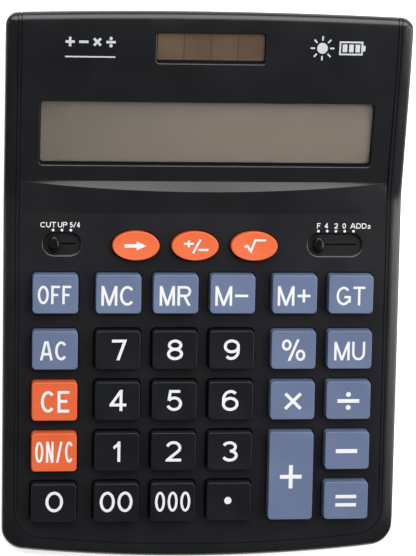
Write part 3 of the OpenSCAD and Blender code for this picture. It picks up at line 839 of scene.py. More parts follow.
def switch_slot(shell, name):
    """Shallow round-ended slot with a slit in its floor."""
    x, travel, left, right = switch_place(name)
    up = KEYPAD.up(SWITCH_Y)
    loop_at = grown(stadium(left, right, SLOT_DEPTH) + [0, up])
    top, floor = cut(shell, KEYPAD, loop_at, SLOT_LIP, SLOT_SINK)
    slit = stadium(x - 1.5, x + travel + 1.5, SLIT_DEPTH, 6) + [0, up]
    upper = shell.add(hole_ring(KEYPAD, slit, SLOT_SINK))
    lower = shell.add(hole_ring(KEYPAD, slit, WALL + 0.1))
    shell.fill(floor, [upper], lambda px, py: KEYPAD.height(py) - SLOT_SINK / KEYPAD.cos)
    shell.band(lower, upper)
    return top, lower


def case_guides():
    """Lines that the top of the case follows: grooves, creases and the rows where it curves."""
    guides = []
    reach = HALF_L + 2
    for offset in GROOVE_LINES:
        guides.append(reaching_back(front_groove_path(offset), reach))
        for side in (-1, 1):
            x = side * (INNER_GROOVE + offset)
            ys = [INNER_GROOVE_END, INNER_GROOVE_END + 3, *np.arange(-78, reach, 12), reach]
            guides.append(np.array([(x, y) for y in ys]))
    guides += [reaching_back(front_groove_path(offset), HALF_L - 6) for offset in (0.8, 1.5)]
    inner = INNER_GROOVE - GROOVE_HALF
    outer = HALF_W - SIDE_EDGE - 0.4
    xs = np.linspace(-inner, inner, 29)
    across = [RISER_Y + d for d in (-0.15, 0.15)]
    across += [ridge_y(xs) + d for d in (-0.12, 0.12)]
    across += [CRESCENT_Y + d for d in (0.24, 0.48)]
    across += [crease_y(xs) + d for d in (-CREASE_EASE, 0, CREASE_EASE)]
    guides += [np.column_stack([xs, ys + 0 * xs]) for ys in across]
    rows = [*np.arange(KINK_Y - KINK_EASE, KINK_Y + KINK_EASE + 0.1, 1)]
    rows += [*np.arange(HEADER_Y - HEADER_EASE, HEADER_Y + HEADER_EASE + 0.1, 0.75)]
    rows += [*np.arange(*HEADER_SPAN, 4)]
    guides += [np.array([(side * inner, y), (side * outer, y)]) for y in rows for side in (-1, 1)]
    return guides


def case_spots(holes):
    """Loose points that let the header curve."""
    across = np.arange(-66, 67, 6.0)
    xs, ys = np.meshgrid(across, np.arange(*HEADER_SPAN, 3.0))
    spots = np.column_stack([xs.ravel(), ys.ravel()])
    keep = np.ones(len(spots), bool)
    for hole in holes:
        middle = hole.mean(0)
        keep &= ~inside(spots, middle + (hole - middle) * 1.15)
    return spots[keep]


def drafted(column, z):
    """How far the side walls have drawn in at a height, because they taper downwards."""
    x, y = outline_point(column, 0.0)
    return DRAFT * max(float(smooth_height(x, y)[0]) - edge_radius(column) - z, 0)


def screw_places():
    """Middles of the case screws in plan."""
    return clusters(node_points("case_screws")[:, :2], 8)


def screw_posts(shell):
    """Round posts under the top of the case, with a blind hole from below for each case screw."""
    low = PARTING_Z - 1
    for x, y in screw_places():
        high = float(smooth_height(x, y)[0]) - WALL + 0.4
        shell.turned([x, y], [(1.1, low + 4.2), (1.1, low + 0.2), (2.7, low), (3.0, low + 0.3), (3.0, high)])


def clusters(points, apart):
    """Centres of groups of points that lie within a distance of each other."""
    groups = []
    for p in points:
        for group in groups:
            if np.linalg.norm(p - group[0]) < apart:
                group.append(p)
                break
        else:
            groups.append([p])
    return [(np.min(g, 0) + np.max(g, 0)) / 2 for g in groups]


def top_case():
    shell = Shell()
    columns = outline_columns()
    loops = [shell.add(ring) for ring in edge_rings(columns)]
    rim = loops[0]
    for inset, z in ((0.0, PARTING_Z + 0.35), (0.12, PARTING_Z + 0.1), (0.35, PARTING_Z)):
        loops.append(shell.add([(*outline_point(c, inset + drafted(c, z)), z) for c in columns]))
    inner = [outline_point(c, WALL) for c in columns]
    ceiling = smooth_height(*np.array([outline_point(c, BACK_EDGE + 0.3) for c in columns]).T) - WALL - 0.4
    loops.append(shell.add([(*place, PARTING_Z) for place in inner]))
    loops.append(shell.add([(*place, z) for place, z in zip(inner, ceiling)]))
    shell.wall(loops[::-1])
    tops, bottoms = zip(*case_holes(shell))
    shell.fill(rim, tops, case_height, case_guides(), case_spots([shell.plan(loop) for loop in tops]))
    grid = [np.array([(x, y) for x in np.arange(-60, 61, 20)]) for y in (RISER_Y, CRESCENT_Y, HEADER_Y)]
    shell.fill(loops[-1], bottoms, lambda x, y: smooth_height(x, y) - WALL - 0.1, grid)
    screw_posts(shell)
    return fit_out(shell.piece("top_shell", "case_black", sharp=50), HOUSING, "case_black", "top_case")


# ---------------------------------------------------------------- keys


NODE_SLOTS = {part["node"]: part["material_slot"] for part in frame["record"]["subparts"]}


def key_dish(node, size):
    """How far a key's face lies below its rim, at places from its centre."""
    width, depth = size - 2 * (key_insets(node)[1] + KEY_EDGE)

    def across(x, y):
        square_x, square_y = (2 * x / width) ** 2, (2 * y / depth) ** 2
        if node in OVAL_KEYS:
            return KEY_DISH * np.clip(1 - square_x - square_y, 0, 1)
        return KEY_DISH * np.clip(1 - square_x, 0, 1) * np.clip(1 - square_y, 0, 1)

    return across


def key_insets(node):
    """How far a key's walls stand inside its CAD outline at the foot and at the rim."""
    if node in OVAL_KEYS:
        return OVAL_INSET, OVAL_INSET
    return KEY_INSET, KEY_TAPER


def keycap(node):
    """Hollow keycap: a flange that holds it in the case, tapered sides, a rounded rim and a dished face."""
    centre, size, top = key_size(node)
    foot, rim = key_insets(node)
    dish = key_dish(node, size)

    def loop_at(inset, z=0.0):
        depth = size[1] - 2 * inset
        if node in OVAL_KEYS:
            return oval(size[0] - 2 * inset, depth)
        rear = KEY_REAR_TAPER * max(z, 0) / top
        return round_rect(size[0] - 2 * inset, depth - rear, KEY_CORNER - inset * 0.5, 4) - [0, rear / 2]

    roof = top - 1.3
    profile = [
        (KEY_WALL + 3.0, roof), (KEY_WALL + 0.4, roof), (KEY_WALL, roof - 0.4), (KEY_WALL, SKIRT_FOOT + 0.1),
        (KEY_WALL - 0.1, SKIRT_FOOT), (-FLANGE + 0.15, SKIRT_FOOT), (-FLANGE, SKIRT_FOOT + 0.15),
        (-FLANGE, FLANGE_TOP - 0.15), (-FLANGE + 0.15, FLANGE_TOP),
        (foot - 0.1, FLANGE_TOP), (foot, FLANGE_TOP + 0.1), (foot, 0.4),
    ]
    for angle in np.radians([8, 26, 44, 62, 80]):
        profile.append((rim + KEY_EDGE * (1 - math.cos(angle)), top - KEY_EDGE * (1 - math.sin(angle))))
    profile.append((rim + KEY_EDGE, top))
    shell = Shell()
    loops = [shell.add(KEYPAD.ring(loop_at(inset, z) + centre, z)) for inset, z in profile]
    shell.wall(loops)
    shell.cap(loops[0], KEYPAD.place([[*centre, roof]])[0])

    def face_height(x, y):
        up = (y - KEYPAD.y + top * KEYPAD.sin) / KEYPAD.cos
        above = top - dish(x - centre[0], up - centre[1])
        return KEYPAD.z + up * KEYPAD.sin + above * KEYPAD.cos

    across, along = (np.arange(0.7 - half, half, 1.5) for half in size / 2 - rim - KEY_EDGE)
    grid = np.column_stack([places.ravel() for places in np.meshgrid(across, along)])
    grid = grid[inside(grid, loop_at(rim + KEY_EDGE + 0.5, top))]
    shell.fill(loops[-1], [], face_height, [], KEYPAD.ring(grid + centre, top)[:, :2])
    plungers(shell, centre, size, top)
    finish = "oval_orange" if node in OVAL_KEYS else NODE_SLOTS[node]
    return fit_out(shell.piece(node + "_cap", finish), node, NODE_SLOTS[node], node)


def plunger_offsets(size):
    """Places of a key's plungers along its depth, from its centre: a long key has two."""
    return [-KEY_PITCH / 2, KEY_PITCH / 2] if size[1] > 25 else [0]


def plungers(shell, centre, size, top):
    """Round plungers under a keycap."""
    for offset in plunger_offsets(size):
        profile = [(2.1, SKIRT_FOOT - 0.05), (2.4, SKIRT_FOOT + 0.25), (2.4, top - 1.2)]
        shell.turned(centre + [0, offset], profile, KEYPAD.ring)


def islands(build):
    """Connected groups of a mesh's faces."""
    seen = set()
    for start in build.faces:
        if start.index in seen:
            continue
        seen.add(start.index)
        group, reach = [], [start]
        while reach:
            face = reach.pop()
            group.append(face)
            for other in (f for edge in face.edges for f in edge.link_faces):
                if other.index not in seen:
                    seen.add(other.index)
                    reach.append(other)
        yield group


def copied(faces, name, finish):
    """Piece made of some faces of a mesh in metres."""
    shell = Shell()
    index = {}
    for vertex in {v.index: v for face in faces for v in face.verts}.values():
        index[vertex.index] = shell.add([np.array(vertex.co) / MM])[0]
    for face in faces:
        shell.face([index[v.index] for v in face.verts])
    return shell.piece(name, finish, sharp=30)


def key_mat():
    """Silicone mat: its sheet, and a dome under each plunger."""
    level = node_extent("key_mat", KEYPAD)[0][2] + MAT_SHEET
    base = Vector(KEYPAD.place([[0, 0, level]])[0]) * MM
    spots = []
    for node in KEY_NODES:
        centre, size, _ = key_size(node)
        spots += [(node, centre + [0, offset]) for offset in plunger_offsets(size)]
    for group in mat_parts(base, above=False):
        fit_out(copied(group, "key_mat_sheet", "silicone"), HOUSING, "silicone", "key_mat")
    for group in mat_parts(base, above=True):
        places = np.array([v.co for face in group for v in face.verts]) / MM
        middle = KEYPAD.local((places.min(0) + places.max(0))[None] / 2)[0][:2]
        node, spot = min(spots, key=lambda item: np.linalg.norm(item[1] - middle))
        rear = "_rear" if spot[1] > key_size(node)[0][1] + 1 else ""
        dome = fit_out(copied(group, node + "_dome" + rear, "silicone"), HOUSING, "silicone", "key_mat")
        Vector(KEYPAD.normal)
        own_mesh(dome)


def mat_parts(base, above):
    """Closed parts of the CAD mat on one side of a plane parallel to the keypad."""
    normal = Vector(KEYPAD.normal)
    build = bmesh.new()
    build.from_mesh(frame["nodes"]["key_mat"].data)
    bmesh.ops.remove_doubles(build, verts=build.verts, dist=0.00001)
    sliced = bmesh.ops.bisect_plane(
        build, geom=[*build.verts, *build.edges, *build.faces], plane_co=base, plane_no=normal,
        clear_outer=not above, clear_inner=above,
    )
    edges = [e for e in sliced["geom_cut"] if isinstance(e, bmesh.types.BMEdge)]
    bmesh.ops.triangle_fill(build, edges=edges, use_beauty=True, normal=normal)
    bmesh.ops.recalc_face_normals(build, faces=build.faces)
    build.verts.index_update()
    build.faces.index_update()
    build.faces.ensure_lookup_table()
    yield from islands(build)
    build.free()


# ---------------------------------------------------------------- printed signs, and painted shade round the windows


def curve(cu, cv, ru, rv, start, end):
    """Stretch of an oval, in a glyph's own places: 0 to 1 across and 0 to 1 up."""
    steps = max(4, int(abs(end - start) / 15))
    angles = np.radians(np.linspace(start, end, steps + 1))
    return [(cu + ru * math.cos(a), cv + rv * math.sin(a)) for a in angles]


def ring_curve(cu, cv, ru, rv):
    return curve(cu, cv, ru, rv, 0, 360)


STEM = [(0, -0.4), (0, 1.4)]
RIGHT_STEM = [(1, -0.4), (1, 1.4)]
MIDDLE_STEM = [(0.5, -0.4), (0.5, 1.4)]
TOP_BAR = [(-0.4, 1), (1.4, 1)]
BOWL = [(0, 1), (0.55, 1), *curve(0.62, 0.75, 0.38, 0.25, 75, -75), (0.55, 0.5), (0, 0.5)]

# Each sign: its width against its height, and the middle lines of its strokes. Strokes that run past the
# sign's box are cut off flat there.
GLYPHS = {
    "A": (1.0, [[(-0.1, -0.25), (0.46, 1.2)], [(1.1, -0.25), (0.54, 1.2)], [(0.2, 0.3), (0.8, 0.3)]]),
    "C": (0.98, [curve(0.52, 0.5, 0.52, 0.5, 42, 318)]),
    "D": (0.95, [STEM, [(0, 1), (0.4, 1), *curve(0.45, 0.5, 0.55, 0.5, 80, -80), (0.4, 0), (0, 0)]]),
    "E": (0.84, [STEM, [(0, 1), (1.4, 1)], [(0, 0.52), (0.93, 0.52)], [(0, 0), (1.4, 0)]]),
    "F": (0.78, [STEM, [(0, 1), (1.4, 1)], [(0, 0.5), (0.9, 0.5)]]),
    "G": (1.04, [curve(0.5, 0.5, 0.5, 0.5, 42, 325), [(0.56, 0.43), (1, 0.43), (1, 0.1)]]),
    "M": (1.08, [STEM, RIGHT_STEM, [(-0.06, 1.2), (0.5, -0.04), (1.06, 1.2)]]),
    "N": (0.9, [STEM, RIGHT_STEM, [(-0.08, 1.15), (1.08, -0.15)]]),
    "O": (0.98, [ring_curve(0.5, 0.5, 0.5, 0.5)]),
    "P": (0.86, [STEM, BOWL]),
    "R": (0.96, [STEM, BOWL, [(0.5, 0.5), (1.06, -0.2)]]),
    "T": (0.86, [MIDDLE_STEM, TOP_BAR]),
    "U": (0.9, [[(0, 1.4), (0, 0.45), *curve(0.5, 0.38, 0.5, 0.38, 180, 360), (1, 0.45), (1, 1.4)]]),
    "0": (0.84, [ring_curve(0.5, 0.5, 0.5, 0.5)]),
    "1": (0.36, [RIGHT_STEM, [(1, 0.96), (-0.3, 0.7)]]),
    "2": (0.76, [[*curve(0.5, 0.7, 0.5, 0.3, 165, -38), (0.02, 0.0), (1.4, 0.0)]]),
    "3": (0.78, [curve(0.47, 0.755, 0.46, 0.245, 160, -85), curve(0.5, 0.265, 0.5, 0.265, 88, -160)]),
    "4": (0.82, [[(0.72, -0.4), (0.72, 1.4)], [(0.78, 1.1), (0.0, 0.25), (1.4, 0.25)]]),
    "5": (0.78, [[(0.95, 1), (0.2, 1), (0.09, 0.5)], curve(0.49, 0.32, 0.5, 0.32, 145, -160)]),
    "6": (0.82, [ring_curve(0.5, 0.31, 0.5, 0.31), [*curve(0.53, 0.55, 0.53, 0.45, 48, 165), (0, 0.31)]]),
    "7": (0.72, [[(-0.4, 1), (0.96, 1), (0.3, -0.25)]]),
    "8": (0.78, [ring_curve(0.5, 0.765, 0.44, 0.235), ring_curve(0.5, 0.265, 0.5, 0.265)]),
    "9": (0.8, [ring_curve(0.5, 0.69, 0.5, 0.31), [*curve(0.47, 0.45, 0.53, 0.45, 228, 345), (1, 0.69)]]),
    "%": (1.2, [ring_curve(0.17, 0.77, 0.17, 0.23), ring_curve(0.83, 0.23, 0.17, 0.23),
                [(0.2, -0.3), (0.8, 1.3)]]),
    "/": (0.72, [[(-0.08, -0.1), (1.08, 1.1)]]),
    "+": (1.0, [[(-0.4, 0.5), (1.4, 0.5)], MIDDLE_STEM]),
    "-": (1.0, [[(-0.4, 0.5), (1.4, 0.5)]]),
    "=": (1.0, [[(-0.4, 1), (1.4, 1)], [(-0.4, 0), (1.4, 0)]]),
    "x": (1.0, [[(0, 0), (1, 1)], [(0, 1), (1, 0)]]),
    "root": (1.0, [[(0, 0.43), (0.14, 0.52), (0.32, 0.02), (0.52, 1), (1.4, 1)]]),
    "sign": (1.0, [[(0, 0.72), (0.42, 0.72)], [(0.21, 0.42), (0.21, 1.02)], [(0.36, -0.2), (0.74, 1.2)],
                   [(0.62, 0.2), (1.4, 0.2)]]),
}


def ribbon(points, width):
    """Outline of a stroke along a path: its outer loop, and its inner loop if the path closes."""
    points = np.asarray(points, float)
    closed = np.linalg.norm(points[0] - points[-1]) < 1e-6
    if closed:
        points = points[:-1]
        before, after = np.roll(points, 1, 0), np.roll(points, -1, 0)
    else:
        before, after = np.vstack([points[:1], points[:-1]]), np.vstack([points[1:], points[-1:]])
    arrive, leave = points - before, after - points
    if not closed:
        arrive[0], leave[-1] = leave[0], arrive[-1]
    arrive /= np.linalg.norm(arrive, axis=1)[:, None]
    leave /= np.linalg.norm(leave, axis=1)[:, None]
    side = np.column_stack([-(arrive + leave)[:, 1], (arrive + leave)[:, 0]])
    side /= np.linalg.norm(side, axis=1)[:, None]
    turn = np.clip((side * np.column_stack([-arrive[:, 1], arrive[:, 0]])).sum(1), 0.22, 1)
    offset = side * (width / 2 / turn)[:, None]
    left, right = points + offset, points - offset
    if closed:
        return right, left
    return np.vstack([left, right[::-1]]), None


def boxed(loop, margin=0.0):
    """A solid shape as one element of a sign: outer loop, inner loop and the box that it is cut off at."""
    loop = np.asarray(loop, float)
    return loop, None, (*(loop.min(0) - margin), *(loop.max(0) + margin))


def disc(x, y, radius):
    return oval(2 * radius, 2 * radius, 16) + [x, y], None, (x - radius, y - radius, x + radius, y + radius)


def block(x, y, width, height):
    """Upright rectangle from its lower left corner."""
    return boxed([(x, y), (x + width, y), (x + width, y + height), (x, y + height)], 0.01)


def glyph(sign, x, y, width, height, stroke):
    """Elements of one sign whose box starts at x, y."""
    elements = []
    corner = [x + stroke / 2, y + stroke / 2]
    for path in GLYPHS[sign][1]:
        points = np.asarray(path, float) * [width - stroke, height - stroke] + corner
        elements.append((*ribbon(points, stroke), (x, y, x + width, y + height)))
    return elements


def bar(x, y, width, height):
    """Elements of a level stroke whose box starts at x, y."""
    return glyph("-", x, y, width, height, height)


def word(signs, width, height, stroke, x=0.0, y=0.0):
    """Elements of a row of signs that fills a box centred on x, y."""
    gap = 0.13 * height
    scale = (width - gap * (len(signs) - 1)) / sum(GLYPHS[s][0] for s in signs)
    at = x - width / 2
    elements = []
    for sign in signs:
        wide = scale * GLYPHS[sign][0]
        elements += glyph(sign, at, y - height / 2, wide, height, stroke)
        at += wide + gap
    return elements


def printed(name, elements, body, place, finish="legend_white", slot="legend_white"):
    """Thin raised print, also used for the bands of painted shade round the windows. place(points, lift) puts flat
    points on the surface that it lies on.
    """
    grid = 2.0
    flat, edges = [], []
    for outer, inner, (left, low, right, high) in elements:
        for loop in (outer, inner, [(left, low), (right, low), (right, high), (left, high)]):
            if loop is not None:
                edges += loop_edges(len(flat), len(loop))
                flat += [tuple(p) for p in loop]
    low, high = np.min(flat, 0), np.max(flat, 0)
    for axis in (0, 1):
        for at in np.arange(math.floor(low[axis] / grid) * grid + grid / 3, high[axis], grid):
            edges.append((len(flat), len(flat) + 1))
            flat += [(at, low[1]), (at, high[1])] if axis == 0 else [(low[0], at), (high[0], at)]
    places, triangles, _ = triangulated(flat, edges, 1e-4)
    middles = places[triangles].mean(1)
    keep = np.zeros(len(triangles), bool)
    for outer, inner, box in elements:
        hit = inside(middles, outer) & (middles > box[:2]).all(1) & (middles < box[2:]).all(1)
        if inner is not None:
            hit &= ~inside(middles, inner)
        keep |= hit
    used, triangles = np.unique(triangles[keep], return_inverse=True)
    shell = Shell()
    top = shell.add(place(places[used], PRINT_HEIGHT))
    bottom = shell.add(place(places[used], -PRINT_HEIGHT))
    sides = set()
    for a, b, c in triangles.reshape(-1, 3).tolist():
        shell.face((top[a], top[b], top[c]))
        shell.face((bottom[c], bottom[b], bottom[a]))
        for edge in ((a, b), (b, c), (c, a)):
            if edge[::-1] in sides:
                sides.remove(edge[::-1])
            else:
                sides.add(edge)
    for a, b in sides:
        shell.face((top[b], top[a], bottom[a], bottom[b]))
    return fit_out(shell.piece(name, finish, sharp=30), body, slot)


def on_key(node, shift=(0.0, 0.0)):
    """Puts flat points on a key's face."""
    centre, size, top = key_size(node)
    dish = key_dish(node, size)

    def place(points, lift):
        x, y = (points + shift).T
        return KEYPAD.place(np.column_stack([x + centre[0], y + centre[1], top - dish(x, y) + lift]))

    return place


def on_case(slope):
    """Puts points given as x and plan y on the top of the case."""

    def place(points, lift):
        x, y = points.T
        return np.column_stack([x, y, smooth_height(x, y)]) + lift * slope.normal

    return place


# Key legends: signs, width, height, stroke, and where their middle is from the key's
LEGENDS = {
    "key_off": ("OFF", 12.4, 6.9, 0.88, -0.4, -0.4),
    "key_mc": ("MC", 12.3, 7.4, 0.95, -0.3, -0.7),
    "key_mr": ("MR", 11.8, 7.4, 0.95, -0.2, -0.7),
    "key_m_minus": ("M-", 12.4, 7.4, 0.95, -0.4, -0.7),
    "key_m_plus": ("M+", 12.4, 7.4, 0.95, -0.3, -0.7),
    "key_gt": ("GT", 10.9, 7.1, 0.88, -0.1, -0.7),
    "key_ac": ("AC", 10.0, 7.2, 0.95, -0.5, -0.3),
    "key_7": ("7", 5.6, 7.8, 1.08, 0.5, 0.0),
    "key_8": ("8", 6.0, 7.8, 1.08, 0.0, 0.0),
    "key_9": ("9", 6.1, 7.8, 1.08, 0.0, 0.0),
    "key_percent": ("%", 9.0, 8.2, 0.93, 0.0, -0.2),
    "key_mu": ("MU", 11.8, 7.1, 0.88, 0.0, -0.6),
    "key_ce": ("CE", 10.6, 8.2, 1.07, 0.2, -0.2),
    "key_4": ("4", 6.3, 8.0, 1.08, 0.2, 0.2),
    "key_5": ("5", 6.0, 8.0, 1.08, 0.0, 0.1),
    "key_6": ("6", 6.3, 8.0, 1.08, -0.2, 0.0),
    "key_on_c": ("ON/C", 14.2, 8.0, 0.84, 0.0, 0.0),
    "key_1": ("1", 2.7, 7.8, 1.08, 0.0, 0.0),
    "key_2": ("2", 5.9, 7.8, 1.08, 0.0, 0.0),
    "key_3": ("3", 6.0, 7.8, 1.08, 0.0, -0.2),
    "key_0": ("0", 6.6, 7.9, 1.08, 0.2, 0.3),
    "key_00": ("00", 12.4, 7.9, 1.04, 0.0, 0.1),
    "key_000": ("000", 13.4, 7.7, 0.93, 0.0, 0.0),
    "key_multiply": ("x", 7.1, 7.0, 1.21, 0.2, -0.4),
    "key_minus": ("-", 8.3, 1.55, 1.55, -0.2, -0.4),
    "key_plus": ("+", 8.3, 9.0, 1.49, 0.0, -0.5),
    "key_equals": ("=", 8.0, 4.5, 1.3, 0.0, -0.3),
    "key_sign": (["sign"], 9.6, 5.2, 0.79, 0.1, -0.1),
    "key_root": (["root"], 8.5, 5.1, 0.79, 0.1, 0.1),
}
SIGN_WIDTH = 4.9
SIGN_GAP = 1.15
TACTILE_BAR = (10.2, 0.45)


def legend(node):
    signs, width, height, stroke, x, y = LEGENDS[node]
    if node in ("key_m_minus", "key_m_plus"):
        elements = glyph("M", -width / 2, -height / 2, width - SIGN_WIDTH - SIGN_GAP, height, stroke)
        tall = stroke if node == "key_m_minus" else SIGN_WIDTH
        elements += glyph(signs[1], width / 2 - SIGN_WIDTH, -tall / 2, SIGN_WIDTH, tall, stroke)
    else:
        elements = word(signs, width, height, stroke)
    printed(node + "_legend", elements, node, on_key(node, (x, y)))


def tactile_bar():
    """Raised bar under the figure 5 that a finger finds."""
    wide, tall = TACTILE_BAR
    elements = bar(-wide / 2, -6.0, wide, tall)
    printed("key_5_bar", elements, "key_5", on_key("key_5"), finish="key_black", slot="key_black")


def plain_legends():
    """Signs that are dots and solid shapes: divide, the decimal point and the shift arrow."""
    divide = bar(-4.2, -0.7, 8.4, 1.4) + [disc(0, 2.5, 0.95), disc(0, -2.5, 0.95)]
    printed("key_divide_legend", divide, "key_divide", on_key("key_divide", (0, -0.4)))
    printed("key_point_legend", [disc(0, 0, 1.4)], "key_point", on_key("key_point", (-0.4, 0.2)))
    arrow = [(-4.1, -0.65), (0.4, -0.65), (0.4, -1.7), (4.1, 0), (0.4, 1.7), (0.4, 0.65), (-4.1, 0.65)]
    printed("key_shift_legend", [boxed(arrow, 0.01)], "key_shift", on_key("key_shift", (-0.2, 0.0)))


SWITCH_TEXT_Y = 24.0
SWITCH_DOT_Y = 22.0
SWITCH_TEXT = (2.0, 0.31)
SWITCH_DOT = 0.5
# Each setting's signs, width and middle
ROUNDING_TEXT = (("CUT", 5.8, -58.45), ("UP", 3.55, -53.1), ("5/4", 3.8, -48.5))
DECIMAL_TEXT = (("F", 1.35, 43.4), ("4", 1.35, 46.3), ("2", 1.35, 50.0), ("0", 1.35, 53.1),
                ("ADD", 6.2, 58.6))
ROUNDING_DOTS = (-56.6, -53.3, -50.0)
DECIMAL_DOTS = 43.3 + 3.35 * np.arange(5)


def switch_legend(name, settings, dots, extra=()):
    """Names of a switch's settings over a row of dots."""
    elements = []
    for signs, width, x in settings:
        elements += word(signs, width, *SWITCH_TEXT, x, SWITCH_TEXT_Y)
    elements += [*extra, *(disc(x, SWITCH_DOT_Y, SWITCH_DOT) for x in dots)]
    printed(name, elements, HOUSING, on_case(KEYPAD))


def switch_legends():
    small_two = word("2", 1.1, 1.4, 0.32, 62.6, SWITCH_TEXT_Y - 0.3)
    switch_legend("rounding_legend", ROUNDING_TEXT, ROUNDING_DOTS)
    switch_legend("decimal_legend", DECIMAL_TEXT, DECIMAL_DOTS, small_two)


def window_painted_shade(name, node, slope, y, size, corner, front):
    """Painted shade round the edge of a window, wider at the front: a near-black matt band that stands in for the
    shade of the window's recess.
    """
    level = node_extent(node, slope)[1][2] + PRINT_HEIGHT
    outer = round_rect(size[0] + 0.4, size[1] + 0.4, corner)
    inner = round_rect(size[0] - 2 * SHADE_BAND_SIDE, size[1] - SHADE_BAND_SIDE - front, corner)
    _, _, box = boxed(outer, 1)

    def place(points, lift):
        return slope.ring(points + [0, slope.up(y)], level + lift)

    element = (outer, inner + [0, (front - SHADE_BAND_SIDE) / 2], box)
    printed(name, [element], HOUSING, place, finish="window_painted_shade", slot="case_black")


def header_marks():
    """Plain pictures in the two header corners: the four operations, and a sun beside a cell."""
    left = []
    for k, sign in enumerate("+-x"):
        tall = 0.9 if sign == "-" else 3.4
        left += glyph(sign, -53.4 + 4.95 * k, 91.2 - tall / 2, 3.4, tall, 0.9)
    left += bar(-38.55, 90.75, 3.4, 0.9) + [disc(-36.85, 92.5, 0.6), disc(-36.85, 89.9, 0.6)]
    left += bar(-53.4, 85.6, 18.2, 0.5)
    sun = (41.0, 90.0)
    right = [disc(*sun, 2.0)]
    for angle in np.arange(8) * math.pi / 4:
        along = np.array([math.cos(angle), math.sin(angle)])
        outline, _ = ribbon([sun + 2.8 * along, sun + 4.4 * along], 0.6)
        right.append(boxed(outline, 0.01))
    cell, _, box = boxed([(47.6, 87.9), (55.8, 87.9), (55.8, 92.3), (47.6, 92.3)], 1)
    right.append((*ribbon([*cell, cell[0]], 0.6), box))
    right.append(block(56.1, 89.1, 0.9, 2.0))
    right += [block(48.5 + 2.4 * k, 88.7, 1.7, 2.8) for k in range(3)]
    printed("operations_mark", left, HOUSING, on_case(HEADER), finish="mark_grey")
    printed("power_mark", right, HOUSING, on_case(HEADER), finish="mark_grey")


# ---------------------------------------------------------------- switches, windows and base


def knob(name):
    """Oval grip with rows of pips, the stem through the slit and the shoe under it."""
    node = name + "_knob"
    low, high = node_extent(node, KEYPAD)
    middle = np.array([(low[0] + high[0]) / 2, KEYPAD.up(SWITCH_Y)])
    width, depth = KNOB_SIZE
    top = high[2] - KNOB_SINK
    shell = Shell()
    grip = [(0.3, -1.3), (0.0, -1.1), (0.0, top - 0.9), (0.15, top - 0.45), (0.45, top - 0.13), (0.9, top),
            (1.4, top + 0.02)]
    shell.lathe([KEYPAD.ring(oval(width - 2 * inset, depth - 2 * inset) + middle, z) for inset, z in grip])
    pip = [(0.24, top - 0.05), (0.22, top + 0.14), (0.12, top + 0.22)]
    for place in [(x, y) for x in (-0.65, 0, 0.65) for y in (-1.3, -0.65, 0, 0.65, 1.3)]:
        shell.turned(middle + place, pip, KEYPAD.ring, 10)
    stem = round_rect(2.2, SLIT_DEPTH - 0.15, 0.2) + middle
    shell.lathe([KEYPAD.ring(stem, z) for z in (-2.6, -1.2)])
    shoe = [(0.2, low[2]), (0.0, low[2] + 0.2), (0.0, -2.7), (0.2, -2.5)]
    size = (high - low)[:2]
    shell.lathe([KEYPAD.ring(round_rect(*(size - 2 * inset), 0.6) + middle, z) for inset, z in shoe])
    return fit_out(shell.piece(name + "_grip", "knob", sharp=35), name + "_switch", "knob", node)


def draw_in(build):
    """Tapers the outer walls of a mesh of the base, as the top case's are."""
    columns = outline_columns()
    outline = np.array([outline_point(c, 0.0) for c in columns])
    inner = np.array([outline_point(c, 1.0) for c in columns])
    for vertex in build.verts:
        place = np.array(vertex.co) / MM
        away = np.linalg.norm(outline - place[:2], axis=1)
        nearest = int(away.argmin())
        inward = inner[nearest] - outline[nearest]
        depth = (place[:2] - outline[nearest]) @ inward
        if depth < 0.6:
            shift = inward * drafted(columns[nearest], place[2])
            vertex.co += Vector((*shift, 0)) * MM


def softened(node, finish, bevel, angle=35):
    """A CAD node's own shape with its edges eased."""
    mesh = frame["nodes"][node].data.copy()
    mesh.name = node + "_eased"
    build = bmesh.new()
    build.from_mesh(mesh)
    if node in ("bottom_case", "battery_door"):
        draw_in(build)
    bmesh.ops.remove_doubles(build, verts=build.verts, dist=0.00001)
    bmesh.ops.dissolve_limit(build, angle_limit=math.radians(1), verts=build.verts, edges=build.edges)
    bmesh.ops.recalc_face_normals(build, faces=build.faces)
    build.to_mesh(mesh)
    build.free()
    mesh.materials.clear()
    mesh.materials.append(materials[finish])
    piece = smoothed(node + "_eased", mesh, angle)
    eased = piece.modifiers.new("eased_edges", "BEVEL")
    eased.width = bevel * MM
    eased.segments = 2
    eased.limit_method = "ANGLE"
    eased.angle_limit = math.radians(angle)
    eased.harden_normals = True
    body = next(b for b, nodes in frame["record"]["behaviour"]["bodies"].items() if node in nodes)
    return fit_out(piece, body, NODE_SLOTS[node], node)


def finish_nodes(pairs):
    """Gives CAD nodes that are kept as they are their finish."""
    for node, finish in pairs.items():
        piece = frame["nodes"][node]
        for slot in piece.material_slots:
            slot.material = materials[finish]
        if not piece.material_slots:
            piece.data.materials.append(materials[finish])


def cross_screws():
    """Case screws with a cross recess in the head."""
    heights = node_points("case_screws")[:, 2]
    low, high = heights.min(), heights.max()
    circle = oval(2, 2, 32)
    arm, slim = 1.5, 0.36
    quarter = np.array([(arm, slim), (slim, slim), (slim, arm)])
    cross = np.vstack([quarter, quarter[::-1] * [-1, 1], -quarter, quarter[::-1] * [1, -1]])
    head, under = low + 0.3, low + 1.5
    profile = [(2.3, low), (2.6, head), (2.6, under), (1.3, under), (1.3, high - 0.6), (0.7, high)]
    shell = Shell()
    for x, y in screw_places():
        loops = [shell.add(flat_ring(circle * r + [x, y], z)) for r, z in profile]
        shell.wall(loops)
        shell.cap(loops[-1], (x, y, high))
        mouth = shell.add(flat_ring(cross + [x, y], low))
        pit = shell.add(flat_ring(cross * 0.7 + [x, y], low + 0.9))
        shell.fill(loops[0], [mouth], lambda px, py: px * 0 + low)
        shell.band(mouth, pit)
        shell.cap(pit, (x, y, low + 0.9))
    piece = shell.piece("case_screw_set", "screw_steel", sharp=35)
    return fit_out(piece, HOUSING, "screw_steel", "case_screws")


